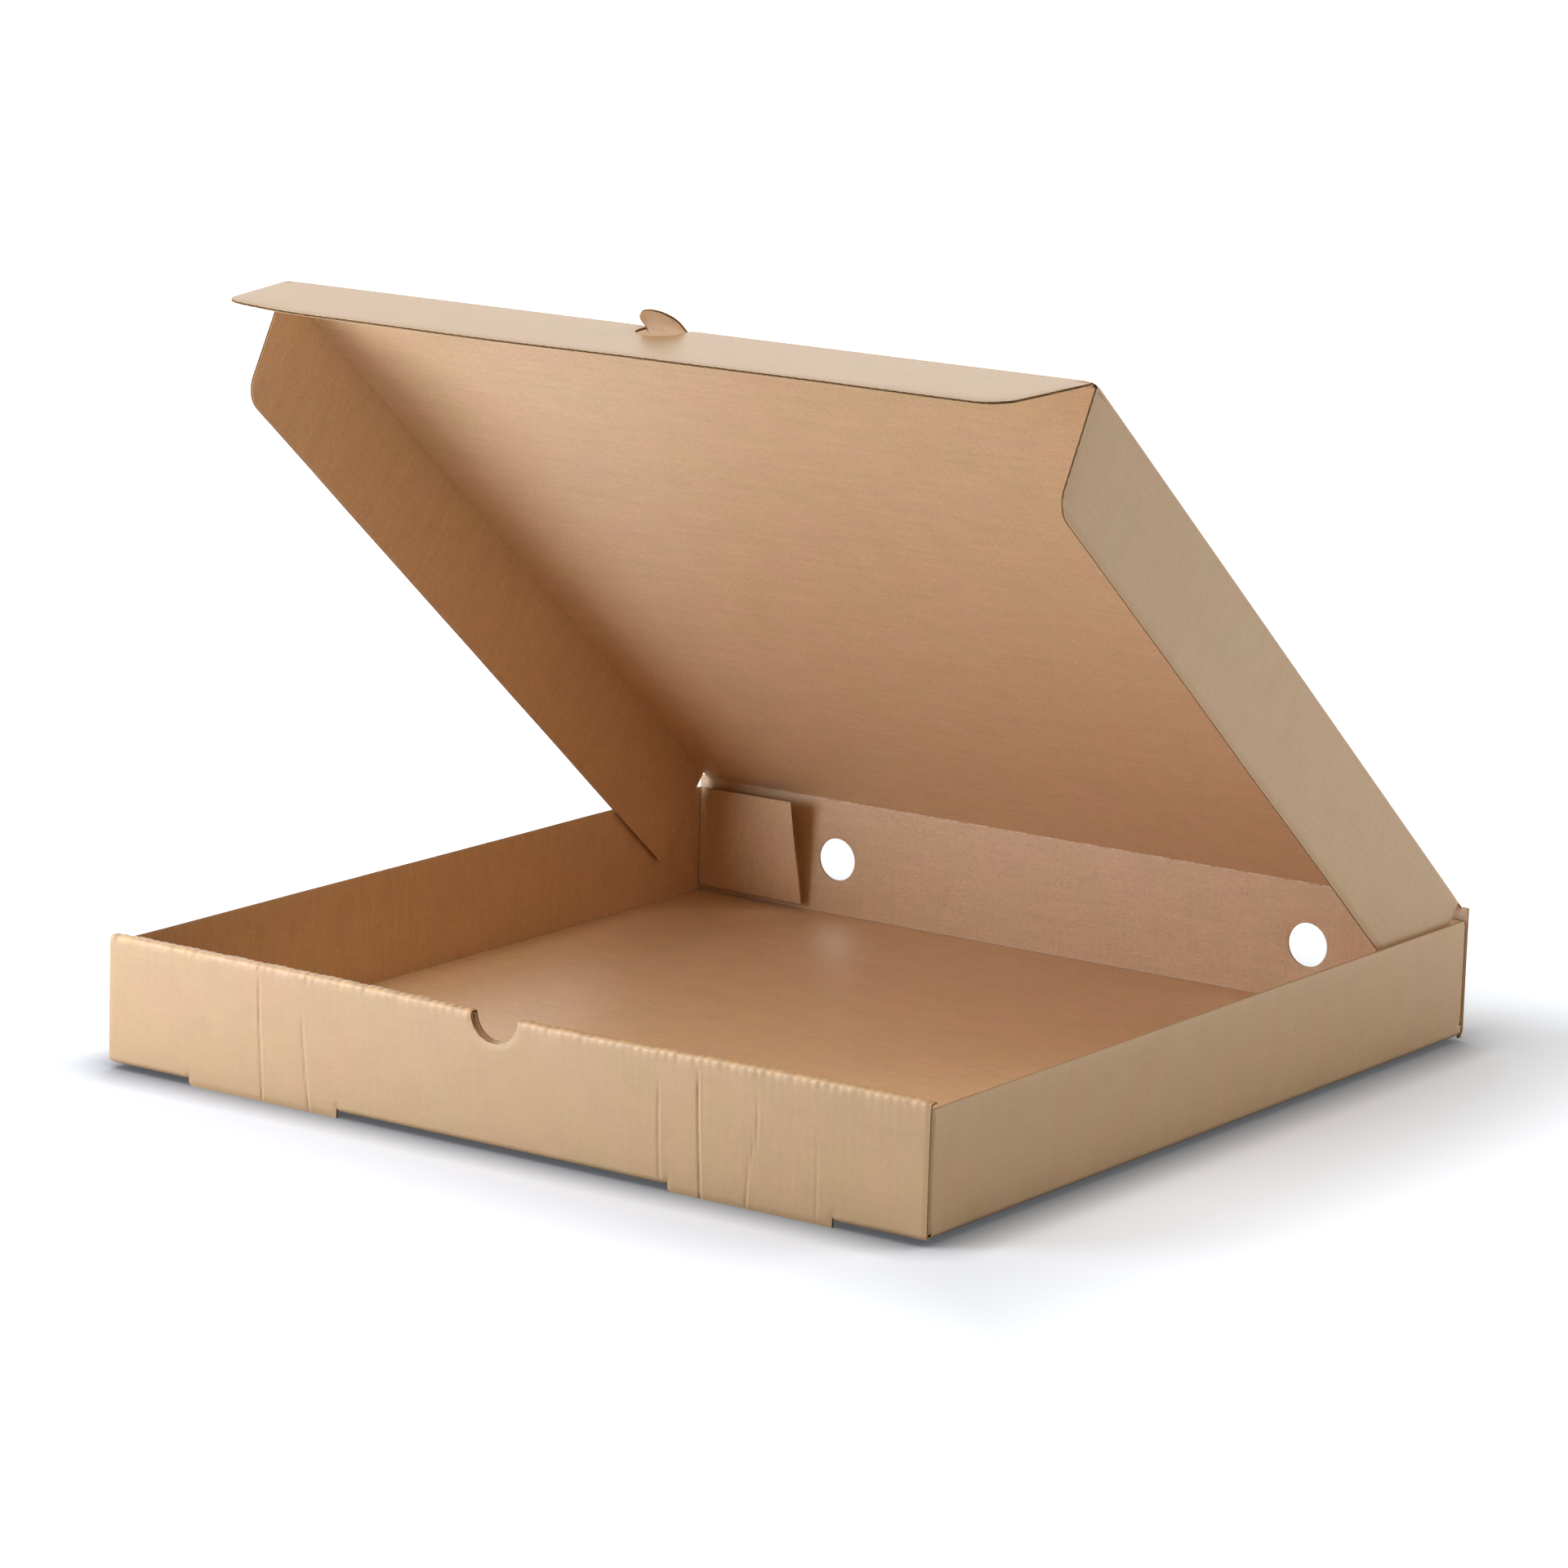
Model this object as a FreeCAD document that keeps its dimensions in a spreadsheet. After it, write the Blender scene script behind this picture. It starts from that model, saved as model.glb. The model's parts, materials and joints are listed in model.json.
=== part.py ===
# A pizza box folded from one die-cut sheet of fine-flute corrugated board, standing with its lid
# half open. The floor, the side walls with their trapped front corner flaps, the back wall with two
# vent holes and the roll-over front wall with its slots, tabs and finger notch are the tray. The
# lid, its front flap, its two side flaps and the two rear corner flaps fold on that sheet, so each
# is a solid of its own.
#
# Frame: millimetres, +X to the right along the front wall, +Y from front to back, +Z up. The origin
# lies under the middle of the tray, on the surface that the box stands on.
import FreeCAD
import Part
import Sketcher

import math
import os
import re

Vector = FreeCAD.Vector
Rotation = FreeCAD.Rotation

# Driving dimensions: alias, plain number, what it is
SIZES = [
    ("board", 1.5, "thickness of the corrugated board"),
    ("fold_inside", 0.4, "inner radius of a scored fold of the floor"),
    ("fold_flat", 0.1, "flat left beside the round of a sharp fold"),
    ("fold_gap", 0.3, "clearance between two sides of a working fold"),
    ("layer_gap", 0.2, "clearance between the outer front panel and what it covers"),
    ("tray_width", 330, "tray across, outside"),
    ("tray_depth", 340, "tray from front to back, outside"),
    ("front_height", 44.5, "front wall above the underside of the floor"),
    ("side_drop", 3, "side wall lower than the front wall"),
    ("lug_drop", 2, "how far the slot lugs reach below the floor"),
    ("roll_foot_gap", 0.8, "between the two panels of the front wall at the floor"),
    ("inner_panel_play", 0.3, "gap at each end of the inner front panel"),
    ("inner_panel_foot", 0.2, "gap under the inner front panel"),
    ("front_corner_flap", 32, "length of a front corner flap inside the front wall"),
    ("slot_start", 67, "middle of the tray to the near end of a slot"),
    ("slot_length", 63, "length of a slot and of its lug"),
    ("tab_play", 0.1, "locking tab to the inner side of its slot"),
    ("lug_round", 1.6, "rounded left corner of a lug"),
    ("tab_end_play", 1, "gap at each end of a locking tab in its slot"),
    ("notch_width", 19, "finger notch across"),
    ("notch_depth", 10, "finger notch down from the top of the front wall"),
    ("notch_offset", -3, "middle of the notch and of the lid tab from the middle of the box"),
    ("vent_diameter", 16, "vent hole in the back wall"),
    ("vent_spacing", 203, "between the two vent holes"),
    ("vent_height", 22.5, "vent hole above the underside of the floor"),
    ("lid_clearance", 0.3, "closed lid above the front wall"),
    ("side_clearance", 0.7, "lid flap to the side wall beside it"),
    ("lid_front_play", 2.5, "closed front flap behind the inner front panel"),
    ("lid_angle", 39.5, "how far the lid stands open from closed, degrees"),
    ("lid_flap_floor_gap", 3.3, "lid side flap above the floor of the closed box"),
    ("lid_flap_front_cut", 1.2, "lid side flap, cut back from the front fold"),
    ("lid_flap_rear_cut", 4, "lid side flap, cut back from the hinge fold"),
    ("lid_flap_taper", 8, "lean of the front edge of a lid side flap"),
    ("lid_flap_front_round", 9, "front lower corner of a lid side flap"),
    ("lid_flap_rear_round", 3, "rear lower corner of a lid side flap"),
    ("front_flap_floor_gap", 4.55, "front flap above the floor of the closed box"),
    ("front_flap_bend", 44.2, "front flap bent down from the plane of the lid, degrees"),
    ("front_flap_end_gap", 0.3, "front flap end to the side flap beside it"),
    ("front_flap_taper", 8.5, "lean of each end of the front flap"),
    ("front_flap_round", 12, "free corners of the front flap"),
    ("tab_width", 15.8, "finger tab of the lid across"),
    ("tab_offset", -1.4, "middle of the finger tab off the middle of the lid"),
    ("tab_reach", 11.5, "finger tab beyond the front fold"),
    ("tab_gap", 0.4, "finger tab to the cut-out that it leaves in the front flap"),
    ("corner_flap_length", 49, "rear corner flap from its fold"),
    ("corner_flap_foot", 4, "rear corner flap above the underside of the floor, at its foot"),
    ("corner_flap_rise", 2.7, "free end of a rear corner flap above the side wall"),
    ("left_flap_lean_foot", 2.4, "left rear corner flap off the back wall at its foot, degrees"),
    ("left_flap_lean_top", 11.5, "left rear corner flap off the back wall at its top, degrees"),
    ("right_flap_lean_foot", 1.5, "right rear corner flap off the back wall at its foot, degrees"),
    ("right_flap_lean_top", 4, "right rear corner flap off the back wall at its top, degrees"),
]

# Worked-out dimensions, each a formula on the driving ones
FORMULAS = [
    ("fold_outside", "=fold_inside + board", "outer radius of a scored fold of the floor"),
    ("fold_round", "=board - fold_flat", "outer radius of a sharp fold"),
    ("bead_round", "=fold_round / 2", "radius of the rounded board edge along a working fold"),
    ("side_height", "=front_height - side_drop", "side wall above the underside of the floor"),
    ("roll_top", "=3 * board", "front wall through its three layers at the top"),
    ("roll_foot", "=2 * board + roll_foot_gap", "front wall through its layers at the floor"),
    ("slot_width", "=roll_foot - board + tab_play", "width of a slot from the outer front panel"),
    ("half_width", "=tray_width / 2", "middle of the tray to its side"),
    ("half_depth", "=tray_depth / 2", "middle of the tray to its front or back"),
    ("inner_half_width", "=half_width - board", "middle of the tray to the inside of a side wall"),
    ("back_inside", "=half_depth - board", "inside of the back wall"),
    ("front_inside", "=-half_depth + board", "inside of the outer front panel"),
    ("floor_top", "=lug_drop + board", "upper face of the floor"),
    ("side_top", "=lug_drop + side_height", "upper edge of a side wall"),
    ("front_top", "=lug_drop + front_height", "upper face of the roll-over front wall"),
    ("hinge_depth", "=half_depth - board / 2", "hinge fold behind the middle of the tray"),
    ("hinge_level", "=front_top + lid_clearance + board / 2", "hinge fold above the ground"),
    ("fold_start", "=board / 2 + fold_gap", "flat end of a folding panel from its fold"),
    ("closed_front", "=half_depth - roll_top - lid_front_play", "middle to the front of the closed lid"),
    ("lid_depth", "=hinge_depth + closed_front - board / 2", "lid from the hinge fold to the front fold"),
    ("closed_top", "=hinge_level + board / 2 - floor_top", "closed lid above the floor inside"),
    ("lid_flap_height", "=closed_top - lid_flap_floor_gap", "lid side flap from the top of the lid"),
    ("front_flap_depth", "=closed_top - board / 2 - front_flap_floor_gap", "front flap from its fold"),
    ("lid_half_width", "=inner_half_width - side_clearance", "middle to the outside of a lid flap"),
    ("lid_fold_line", "=lid_half_width - board", "middle to the fold of a lid side flap"),
    ("front_flap_half", "=lid_fold_line - front_flap_end_gap", "half of the front flap at its fold"),
    ("corner_fold_line", "=back_inside - fold_gap - board", "fold of a rear corner flap"),
    ("corner_flap_top", "=side_top + corner_flap_rise", "top of a rear corner flap's free end"),
]

WORDS = [alias for alias, value, note in SIZES + FORMULAS]
SHEET_NAME = "Sizes"
WORD_PATTERN = re.compile(r"\b(" + "|".join(WORDS) + r")\b")

doc = FreeCAD.newDocument("PizzaBox")


def make_sheet():
    """The spreadsheet of driving and worked-out dimensions."""
    sheet = doc.addObject("Spreadsheet::Sheet", SHEET_NAME)
    for row, (alias, value, note) in enumerate(SIZES + FORMULAS, start=1):
        sheet.set(f"A{row}", note)
        sheet.set(f"B{row}", str(value))
        sheet.setAlias(f"B{row}", alias)
    doc.recompute()
    return sheet


sheet = make_sheet()


def bound(formula):
    """The formula with each size name pointing at the spreadsheet."""
    return WORD_PATTERN.sub(SHEET_NAME + r".\1", str(formula))


def value_of(formula):
    """The number that a formula on the sizes gives."""
    answer = sheet.evalExpression(bound(formula))
    return float(getattr(answer, "Value", answer))


def origin_plane(body, role):
    """One of the origin planes of a body."""
    return next(part for part in body.Origin.OriginFeatures if part.Role == role)


def new_body(name):
    """An empty body whose label names its file."""
    body = doc.addObject("PartDesign::Body", name)
    body.Label = name
    doc.recompute()
    return body


def new_sketch(body, name, role, shift="0"):
    """An empty sketch on an origin plane of the body, moved along the plane's normal."""
    sketch = body.newObject("Sketcher::SketchObject", name)
    sketch.AttachmentSupport = [(origin_plane(body, role), "")]
    sketch.MapMode = "FlatFace"
    sketch.setExpression("AttachmentOffset.Base.z", bound(shift))
    doc.recompute()
    return sketch


def fix_point(sketch, geometry, end, x_formula, y_formula):
    """Tie one point of the sketch to two formulas on the sizes."""
    for kind, formula in (("DistanceX", x_formula), ("DistanceY", y_formula)):
        start_value = value_of(formula)
        index = sketch.addConstraint(Sketcher.Constraint(kind, -1, 1, geometry, end, start_value))
        sketch.setExpression(f"Constraints[{index}]", bound(formula))


def corner_arc(before, corner, after, radius):
    """Tangent points, middle and turn of the round that replaces a corner."""
    into = (corner - before).normalize()
    out = (after - corner).normalize()
    turn = into.cross(out).z
    half_angle = into.getAngle(out) / 2
    reach = radius * math.tan(half_angle)
    start = corner - into * reach
    end = corner + out * reach
    side = Vector(-into.y, into.x, 0) * (1 if turn > 0 else -1)
    return start, end, start + side * radius, turn


def outline(sketch, corners):
    """A closed outline. Each corner is two formulas, and a third one gives the radius of a round."""
    count = len(corners)
    points = [Vector(value_of(corner[0]), value_of(corner[1]), 0) for corner in corners]
    rounds = {}
    for i, corner in enumerate(corners):
        if len(corner) == 3:
            radius = value_of(corner[2])
            rounds[i] = corner_arc(points[i - 1], points[i], points[(i + 1) % count], radius)
    for i in range(count):
        following = (i + 1) % count
        start = rounds[i][1] if i in rounds else points[i]
        end = rounds[following][0] if following in rounds else points[following]
        sketch.addGeometry(Part.LineSegment(start, end))
    for i, corner in enumerate(corners):
        line_before = (i - 1) % count
        if i not in rounds:
            sketch.addConstraint(Sketcher.Constraint("Coincident", line_before, 2, i, 1))
            fix_point(sketch, i, 1, corner[0], corner[1])
            continue
        start, end, middle, turn = rounds[i]
        circle = Part.Circle(middle, Vector(0, 0, 1), value_of(corner[2]))
        if turn > 0:
            first, last = start, end
        else:
            first, last = end, start
        arc = sketch.addGeometry(Part.ArcOfCircle(circle, circle.parameter(first), circle.parameter(last)))
        mark = sketch.addGeometry(Part.Point(points[i]), True)
        arc_start, arc_end = (1, 2) if turn > 0 else (2, 1)
        sketch.addConstraint(Sketcher.Constraint("Tangent", line_before, 2, arc, arc_start))
        sketch.addConstraint(Sketcher.Constraint("Tangent", arc, arc_end, i, 1))
        radius_index = sketch.addConstraint(Sketcher.Constraint("Radius", arc, value_of(corner[2])))
        sketch.setExpression(f"Constraints[{radius_index}]", bound(corner[2]))
        sketch.addConstraint(Sketcher.Constraint("PointOnObject", mark, 1, line_before))
        sketch.addConstraint(Sketcher.Constraint("PointOnObject", mark, 1, i))
        fix_point(sketch, mark, 1, corner[0], corner[1])
    doc.recompute()


def pad(body, sketch, length):
    """Extrude a sketch evenly to both sides of its plane."""
    feature = body.newObject("PartDesign::Pad", sketch.Name + "_pad")
    feature.Profile = sketch
    feature.SideType = "Symmetric"
    feature.setExpression("Length", bound(length))
    doc.recompute()
    return feature


def pocket(body, sketch, length):
    """Cut a sketch evenly to both sides of its plane."""
    before = body.Shape.Volume
    feature = body.newObject("PartDesign::Pocket", sketch.Name + "_cut")
    feature.Profile = sketch
    feature.SideType = "Symmetric"
    feature.setExpression("Length", bound(length))
    doc.recompute()
    if body.Shape.Volume >= before:
        raise RuntimeError(sketch.Name + " cut nothing")
    return feature


def slab(body, name, role, middle, corners, length):
    """A padded outline on a plane through the given place along the plane's normal."""
    sketch = new_sketch(body, name, role, middle)
    outline(sketch, corners)
    return pad(body, sketch, length)


def rectangle(x_low, x_high, y_low, y_high):
    """The four corners of a rectangle."""
    return [(x_low, y_low), (x_high, y_low), (x_high, y_high), (x_low, y_high)]


def add_floor_and_sides(body):
    """The floor, and the side walls folded up from it with round folds."""
    across = [
        ("-half_width", "lug_drop", "fold_outside"),
        ("half_width", "lug_drop", "fold_outside"),
        ("half_width", "side_top"),
        ("inner_half_width", "side_top"),
        ("inner_half_width", "floor_top", "fold_inside"),
        ("-inner_half_width", "floor_top", "fold_inside"),
        ("-inner_half_width", "side_top"),
        ("-half_width", "side_top"),
    ]
    # The normal of the XZ plane points to the front, so the middle is counted from there
    middle = "-(corner_fold_line + front_inside + layer_gap + board) / 2"
    length = "corner_fold_line - front_inside - layer_gap - board"
    slab(body, "floor_and_sides", "XZ_Plane", middle, across, length)


def add_side_wall_ends(body):
    """Each side wall turns inward at both ends, where its corner flaps begin."""
    for side, sign in (("left", "-"), ("right", "")):
        outer = f"{sign}half_width"
        inner = f"{sign}inner_half_width"
        for end, base, tip in (
            ("rear", "corner_fold_line", "corner_fold_line + board"),
            ("front", "front_inside + layer_gap + board", "front_inside + layer_gap"),
        ):
            corners = [(inner, base), (outer, base), (outer, tip, "fold_round"), (inner, tip)]
            middle = "(lug_drop + fold_outside + side_top) / 2"
            length = "side_top - lug_drop - fold_outside"
            slab(body, f"{side}_{end}_wall_end", "XY_Plane", middle, corners, length)


def add_back_wall(body):
    """The back wall, as wide as the tray, with a rounded edge where the lid folds on it."""
    fold = [
        ("corner_fold_line - board", "lug_drop"),
        ("half_depth", "lug_drop", "fold_outside"),
        ("half_depth", "floor_top + fold_outside"),
        ("back_inside", "floor_top + fold_outside"),
        ("back_inside", "floor_top", "fold_inside"),
        ("corner_fold_line - board", "floor_top"),
    ]
    slab(body, "back_fold", "YZ_Plane", "0", fold, "tray_width - 2 * fold_outside")
    wall = [
        ("half_depth", "floor_top + fold_inside"),
        ("half_depth", "hinge_level + board / 2", "bead_round"),
        ("back_inside", "hinge_level + board / 2", "bead_round"),
        ("back_inside", "floor_top + fold_inside"),
    ]
    slab(body, "back_panel", "YZ_Plane", "0", wall, "tray_width")


def add_vents(body):
    """Two round vent holes in the back wall."""
    sketch = new_sketch(body, "vents", "XZ_Plane", "-hinge_depth")
    for sign in ("-", ""):
        x_formula = f"{sign}vent_spacing / 2"
        y_formula = "lug_drop + vent_height"
        centre = Vector(value_of(x_formula), value_of(y_formula), 0)
        circle = sketch.addGeometry(Part.Circle(centre, Vector(0, 0, 1), value_of("vent_diameter / 2")))
        index = sketch.addConstraint(Sketcher.Constraint("Diameter", circle, value_of("vent_diameter")))
        sketch.setExpression(f"Constraints[{index}]", bound("vent_diameter"))
        fix_point(sketch, circle, 3, x_formula, y_formula)
    doc.recompute()
    pocket(body, sketch, "2 * board")


def add_outer_front_panel(body):
    """The outer panel of the roll-over front wall, and the flat top of the roll."""
    fold = [
        ("front_inside + roll_foot", "lug_drop"),
        ("front_inside + roll_foot", "floor_top"),
        ("front_inside", "floor_top", "fold_inside"),
        ("front_inside", "floor_top + fold_outside"),
        ("-half_depth", "floor_top + fold_outside"),
        ("-half_depth", "lug_drop", "fold_outside"),
    ]
    slab(body, "front_fold", "YZ_Plane", "0", fold, "tray_width - 2 * fold_outside")
    outer = [
        ("-half_depth", "floor_top + fold_inside"),
        ("front_inside", "floor_top + fold_inside"),
        ("front_inside", "front_top - board", "fold_inside"),
        ("-half_depth + roll_top", "front_top - board"),
        ("-half_depth + roll_top", "front_top", "fold_round"),
        ("-half_depth", "front_top", "fold_round"),
    ]
    slab(body, "outer_front_panel", "YZ_Plane", "0", outer, "tray_width")


def add_slots(body):
    """Two slots at the foot of the outer front panel, and the lugs that they leave below it."""
    cut_top = "lug_drop + board + fold_outside"
    slot_end = "(slot_start + slot_length)"
    for side, left_end, right_end in (
        ("left", "-" + slot_end, "-slot_start"),
        ("right", "slot_start", slot_end),
    ):
        slot = new_sketch(body, f"{side}_slot", "XY_Plane", "lug_drop")
        outline(slot, rectangle(left_end, right_end, "-half_depth - board", "front_inside + slot_width"))
        pocket(body, slot, "2 * (board + fold_outside)")
        lug = [(left_end, "0", "lug_round"), (right_end, "0"), (right_end, cut_top), (left_end, cut_top)]
        slab(body, f"{side}_lug", "XZ_Plane", "half_depth - board / 2", lug, "board")


def add_inner_front_panel(body):
    """The inner panel of the roll-over front wall, down to the floor, and its two locking tabs."""
    foot = "floor_top + inner_panel_foot"
    inner = [
        ("-half_depth + roll_foot - board", foot),
        ("-half_depth + roll_foot", foot),
        ("-half_depth + roll_top", "front_top - board"),
        ("-half_depth + roll_top - board", "front_top - board"),
    ]
    width = "2 * (inner_half_width - inner_panel_play)"
    slab(body, "inner_front_panel", "YZ_Plane", "0", inner, width)
    tab = rectangle("-half_depth + roll_foot - board", "-half_depth + roll_foot", "lug_drop", foot)
    for side, sign in (("left", "-"), ("right", "")):
        middle = f"{sign}(slot_start + slot_length / 2)"
        slab(body, f"{side}_tab", "YZ_Plane", middle, tab, "slot_length - 2 * tab_end_play")


def add_front_corner_flaps(body):
    """The side walls' front corner flaps, trapped between the two panels of the front wall."""
    section = [
        ("front_inside + layer_gap", "floor_top + inner_panel_foot"),
        ("-half_depth + roll_foot - board", "floor_top + inner_panel_foot"),
        ("-half_depth + roll_top - board", "side_top"),
        ("front_inside + layer_gap", "side_top"),
    ]
    for side, sign in (("left", "-"), ("right", "")):
        middle = f"{sign}(inner_half_width - front_corner_flap / 2)"
        slab(body, f"{side}_front_corner_flap", "YZ_Plane", middle, section, "front_corner_flap")


def add_notch(body):
    """The finger notch in the top of the front wall, through all its layers."""
    sketch = new_sketch(body, "notch", "XZ_Plane", "half_depth - roll_top / 2")
    left = "notch_offset - notch_width / 2"
    right = "notch_offset + notch_width / 2"
    foot = "front_top - notch_depth"
    round_radius = "notch_width / 2 - fold_gap"
    corners = [(left, foot, round_radius), (right, foot, round_radius), (right, "front_top + board"),
               (left, "front_top + board")]
    outline(sketch, corners)
    pocket(body, sketch, "2 * roll_top")


def make_tray():
    """Everything of the sheet that keeps its shape once the box is made up."""
    body = new_body("tray")
    add_floor_and_sides(body)
    add_side_wall_ends(body)
    add_back_wall(body)
    add_vents(body)
    add_outer_front_panel(body)
    add_slots(body)
    add_inner_front_panel(body)
    add_front_corner_flaps(body)
    add_notch(body)
    return body


def hang_on_lid(body):
    """Give a body that is drawn with the lid closed the place of the open lid."""
    body.Placement.Rotation = Rotation(Vector(1, 0, 0), -1)
    body.setExpression("Placement.Rotation.Angle", bound("-lid_angle"))
    body.setExpression("Placement.Base.y", bound("hinge_depth"))
    body.setExpression("Placement.Base.z", bound("hinge_level"))


def make_lid():
    """The lid panel with the starts of its side folds, its rounded front fold and its tab."""
    body = new_body("lid")
    across = [
        ("-lid_half_width", "-board / 2"),
        ("lid_half_width", "-board / 2"),
        ("lid_half_width", "board / 2", "fold_round"),
        ("-lid_half_width", "board / 2", "fold_round"),
    ]
    slab(body, "lid_panel", "XZ_Plane", "(fold_start + lid_depth) / 2", across, "lid_depth - fold_start")
    front_edge = [
        ("-lid_depth - board / 2", "-board / 2", "bead_round"),
        ("-lid_depth + board", "-board / 2"),
        ("-lid_depth + board", "board / 2"),
        ("-lid_depth - board / 2", "board / 2", "bead_round"),
    ]
    slab(body, "lid_front_edge", "YZ_Plane", "0", front_edge, "2 * front_flap_half")
    left = "tab_offset - tab_width / 2"
    right = "tab_offset + tab_width / 2"
    tip = "-lid_depth - tab_reach"
    root = "-lid_depth + board"
    round_radius = "tab_width / 2 - fold_gap"
    tab = [(left, tip, round_radius), (right, tip, round_radius), (right, root), (left, root)]
    slab(body, "lid_tab", "XY_Plane", "0", tab, "board")
    hang_on_lid(body)
    return body


def make_lid_side_flap(side, sign):
    """A side flap of the lid, folded down inside the side wall."""
    body = new_body(f"lid_{side}_flap")
    front = "-lid_depth + lid_flap_front_cut"
    rear = "-lid_flap_rear_cut"
    top = "-board / 2 - fold_gap"
    foot = "board / 2 - lid_flap_height"
    corners = [
        (front, top),
        (front + " + lid_flap_taper", foot, "lid_flap_front_round"),
        (rear, foot, "lid_flap_rear_round"),
        (rear, top),
    ]
    middle = f"{sign}(lid_half_width - board / 2)"
    slab(body, f"{side}_flap_outline", "YZ_Plane", middle, corners, "board")
    hang_on_lid(body)
    return body


def make_front_flap():
    """The front flap of the lid, with the cut-out that the finger tab leaves in it."""
    body = new_body("lid_front_flap")
    fold = "-fold_start"
    free_edge = "-front_flap_depth"
    cut_half = "(tab_width / 2 + tab_gap)"
    cut_end = "-tab_reach - tab_gap"
    cut_round = "tab_width / 2 + tab_gap - fold_gap"
    corners = [
        ("-front_flap_half", fold),
        ("-front_flap_half + front_flap_taper", free_edge, "front_flap_round"),
        ("front_flap_half - front_flap_taper", free_edge, "front_flap_round"),
        ("front_flap_half", fold),
        (f"tab_offset + {cut_half}", fold),
        (f"tab_offset + {cut_half}", cut_end, cut_round),
        (f"tab_offset - {cut_half}", cut_end, cut_round),
        (f"tab_offset - {cut_half}", fold),
    ]
    slab(body, "front_flap_outline", "XY_Plane", "0", corners, "board")
    body.Placement.Rotation = Rotation(Vector(1, 0, 0), 1)
    body.setExpression("Placement.Rotation.Angle", bound("front_flap_bend - lid_angle"))
    body.setExpression("Placement.Base.y", bound("hinge_depth - lid_depth * cos(lid_angle * 1deg)"))
    body.setExpression("Placement.Base.z", bound("hinge_level + lid_depth * sin(lid_angle * 1deg)"))
    return body


def make_rear_corner_flap(side, sign):
    """A rear corner flap, folded in from the side wall and standing off the back wall."""
    body = new_body(f"rear_{side}_corner_flap")
    sketches = []
    for height, level in (("foot", "corner_flap_foot + lug_drop"), ("top", "corner_flap_top")):
        lean = f"({side}_flap_lean_{height} * 1deg)"
        corners = []
        for along, through in (
            ("fold_gap", "0"),
            ("corner_flap_length", "0"),
            ("corner_flap_length", "board"),
            ("fold_gap", "board"),
        ):
            inward = f"{along} * cos{lean} + {through} * sin{lean}"
            backward = f"{through} * cos{lean} - {along} * sin{lean}"
            corners.append((f"{sign}(inner_half_width - ({inward}))", f"corner_fold_line + {backward}"))
        sketch = new_sketch(body, f"{side}_flap_{height}", "XY_Plane", level)
        outline(sketch, corners)
        sketches.append(sketch)
    loft = body.newObject("PartDesign::AdditiveLoft", f"{side}_flap_board")
    loft.Profile = sketches[0]
    loft.Sections = sketches[1:]
    loft.Ruled = True
    doc.recompute()
    sketch = new_sketch(body, f"{side}_flap_slope", "XZ_Plane", "-corner_fold_line")
    outline(sketch, [
        (f"{sign}inner_half_width", "side_top"),
        (f"{sign}inner_half_width", "corner_flap_top + board"),
        (f"{sign}(inner_half_width - corner_flap_length)", "corner_flap_top + board"),
        (f"{sign}(inner_half_width - corner_flap_length)", "corner_flap_top"),
    ])
    pocket(body, sketch, "corner_flap_length")
    return body


bodies = [make_tray(), make_lid(), make_front_flap()]
for side_name, side_sign in (("left", "-"), ("right", "")):
    bodies.append(make_lid_side_flap(side_name, side_sign))
    bodies.append(make_rear_corner_flap(side_name, side_sign))
doc.recompute()

for thing in doc.Objects:
    if "Invalid" in thing.State or "Error" in thing.State:
        raise RuntimeError(f"{thing.Name} failed: {thing.State}")
for body in bodies:
    if body.Shape.isNull() or not body.Shape.isValid() or len(body.Shape.Solids) != 1:
        raise RuntimeError(f"{body.Label} is not one sound solid")

os.makedirs("parts", exist_ok=True)
for body in bodies:
    body.Shape.exportStep(os.path.join("parts", body.Label + ".step"))
    box = body.Shape.BoundBox
    print(f"{body.Label}: {body.Shape.Volume:.0f} mm3, "
          f"x {box.XMin:.2f} {box.XMax:.2f}, y {box.YMin:.2f} {box.YMax:.2f}, "
          f"z {box.ZMin:.2f} {box.ZMax:.2f}")
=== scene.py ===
# A half-open pizza box of brown corrugated board. Each panel is built as the real board is: two
# thin kraft liners with a fluted sheet between them, cut to the panel's outline and bent at its folds.
import json
import math
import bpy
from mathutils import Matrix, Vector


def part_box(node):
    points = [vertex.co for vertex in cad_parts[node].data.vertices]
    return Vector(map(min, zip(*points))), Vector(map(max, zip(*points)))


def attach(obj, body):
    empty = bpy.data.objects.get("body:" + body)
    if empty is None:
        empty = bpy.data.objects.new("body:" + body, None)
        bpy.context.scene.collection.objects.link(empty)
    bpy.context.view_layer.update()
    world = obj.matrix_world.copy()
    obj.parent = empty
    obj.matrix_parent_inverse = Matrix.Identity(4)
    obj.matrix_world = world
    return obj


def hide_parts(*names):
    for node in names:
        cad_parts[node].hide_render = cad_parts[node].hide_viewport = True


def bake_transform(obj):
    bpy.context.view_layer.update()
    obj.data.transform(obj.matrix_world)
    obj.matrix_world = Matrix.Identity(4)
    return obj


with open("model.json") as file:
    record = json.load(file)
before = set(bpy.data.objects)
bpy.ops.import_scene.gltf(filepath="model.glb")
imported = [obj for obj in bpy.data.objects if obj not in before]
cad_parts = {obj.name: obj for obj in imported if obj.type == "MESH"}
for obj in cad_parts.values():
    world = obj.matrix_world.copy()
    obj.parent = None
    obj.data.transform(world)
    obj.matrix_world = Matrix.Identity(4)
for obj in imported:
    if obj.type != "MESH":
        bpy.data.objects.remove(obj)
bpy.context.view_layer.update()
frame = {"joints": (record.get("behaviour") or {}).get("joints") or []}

from types import SimpleNamespace

import bmesh
import bpy
import numpy as np
from mathutils import Matrix, Vector

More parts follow.
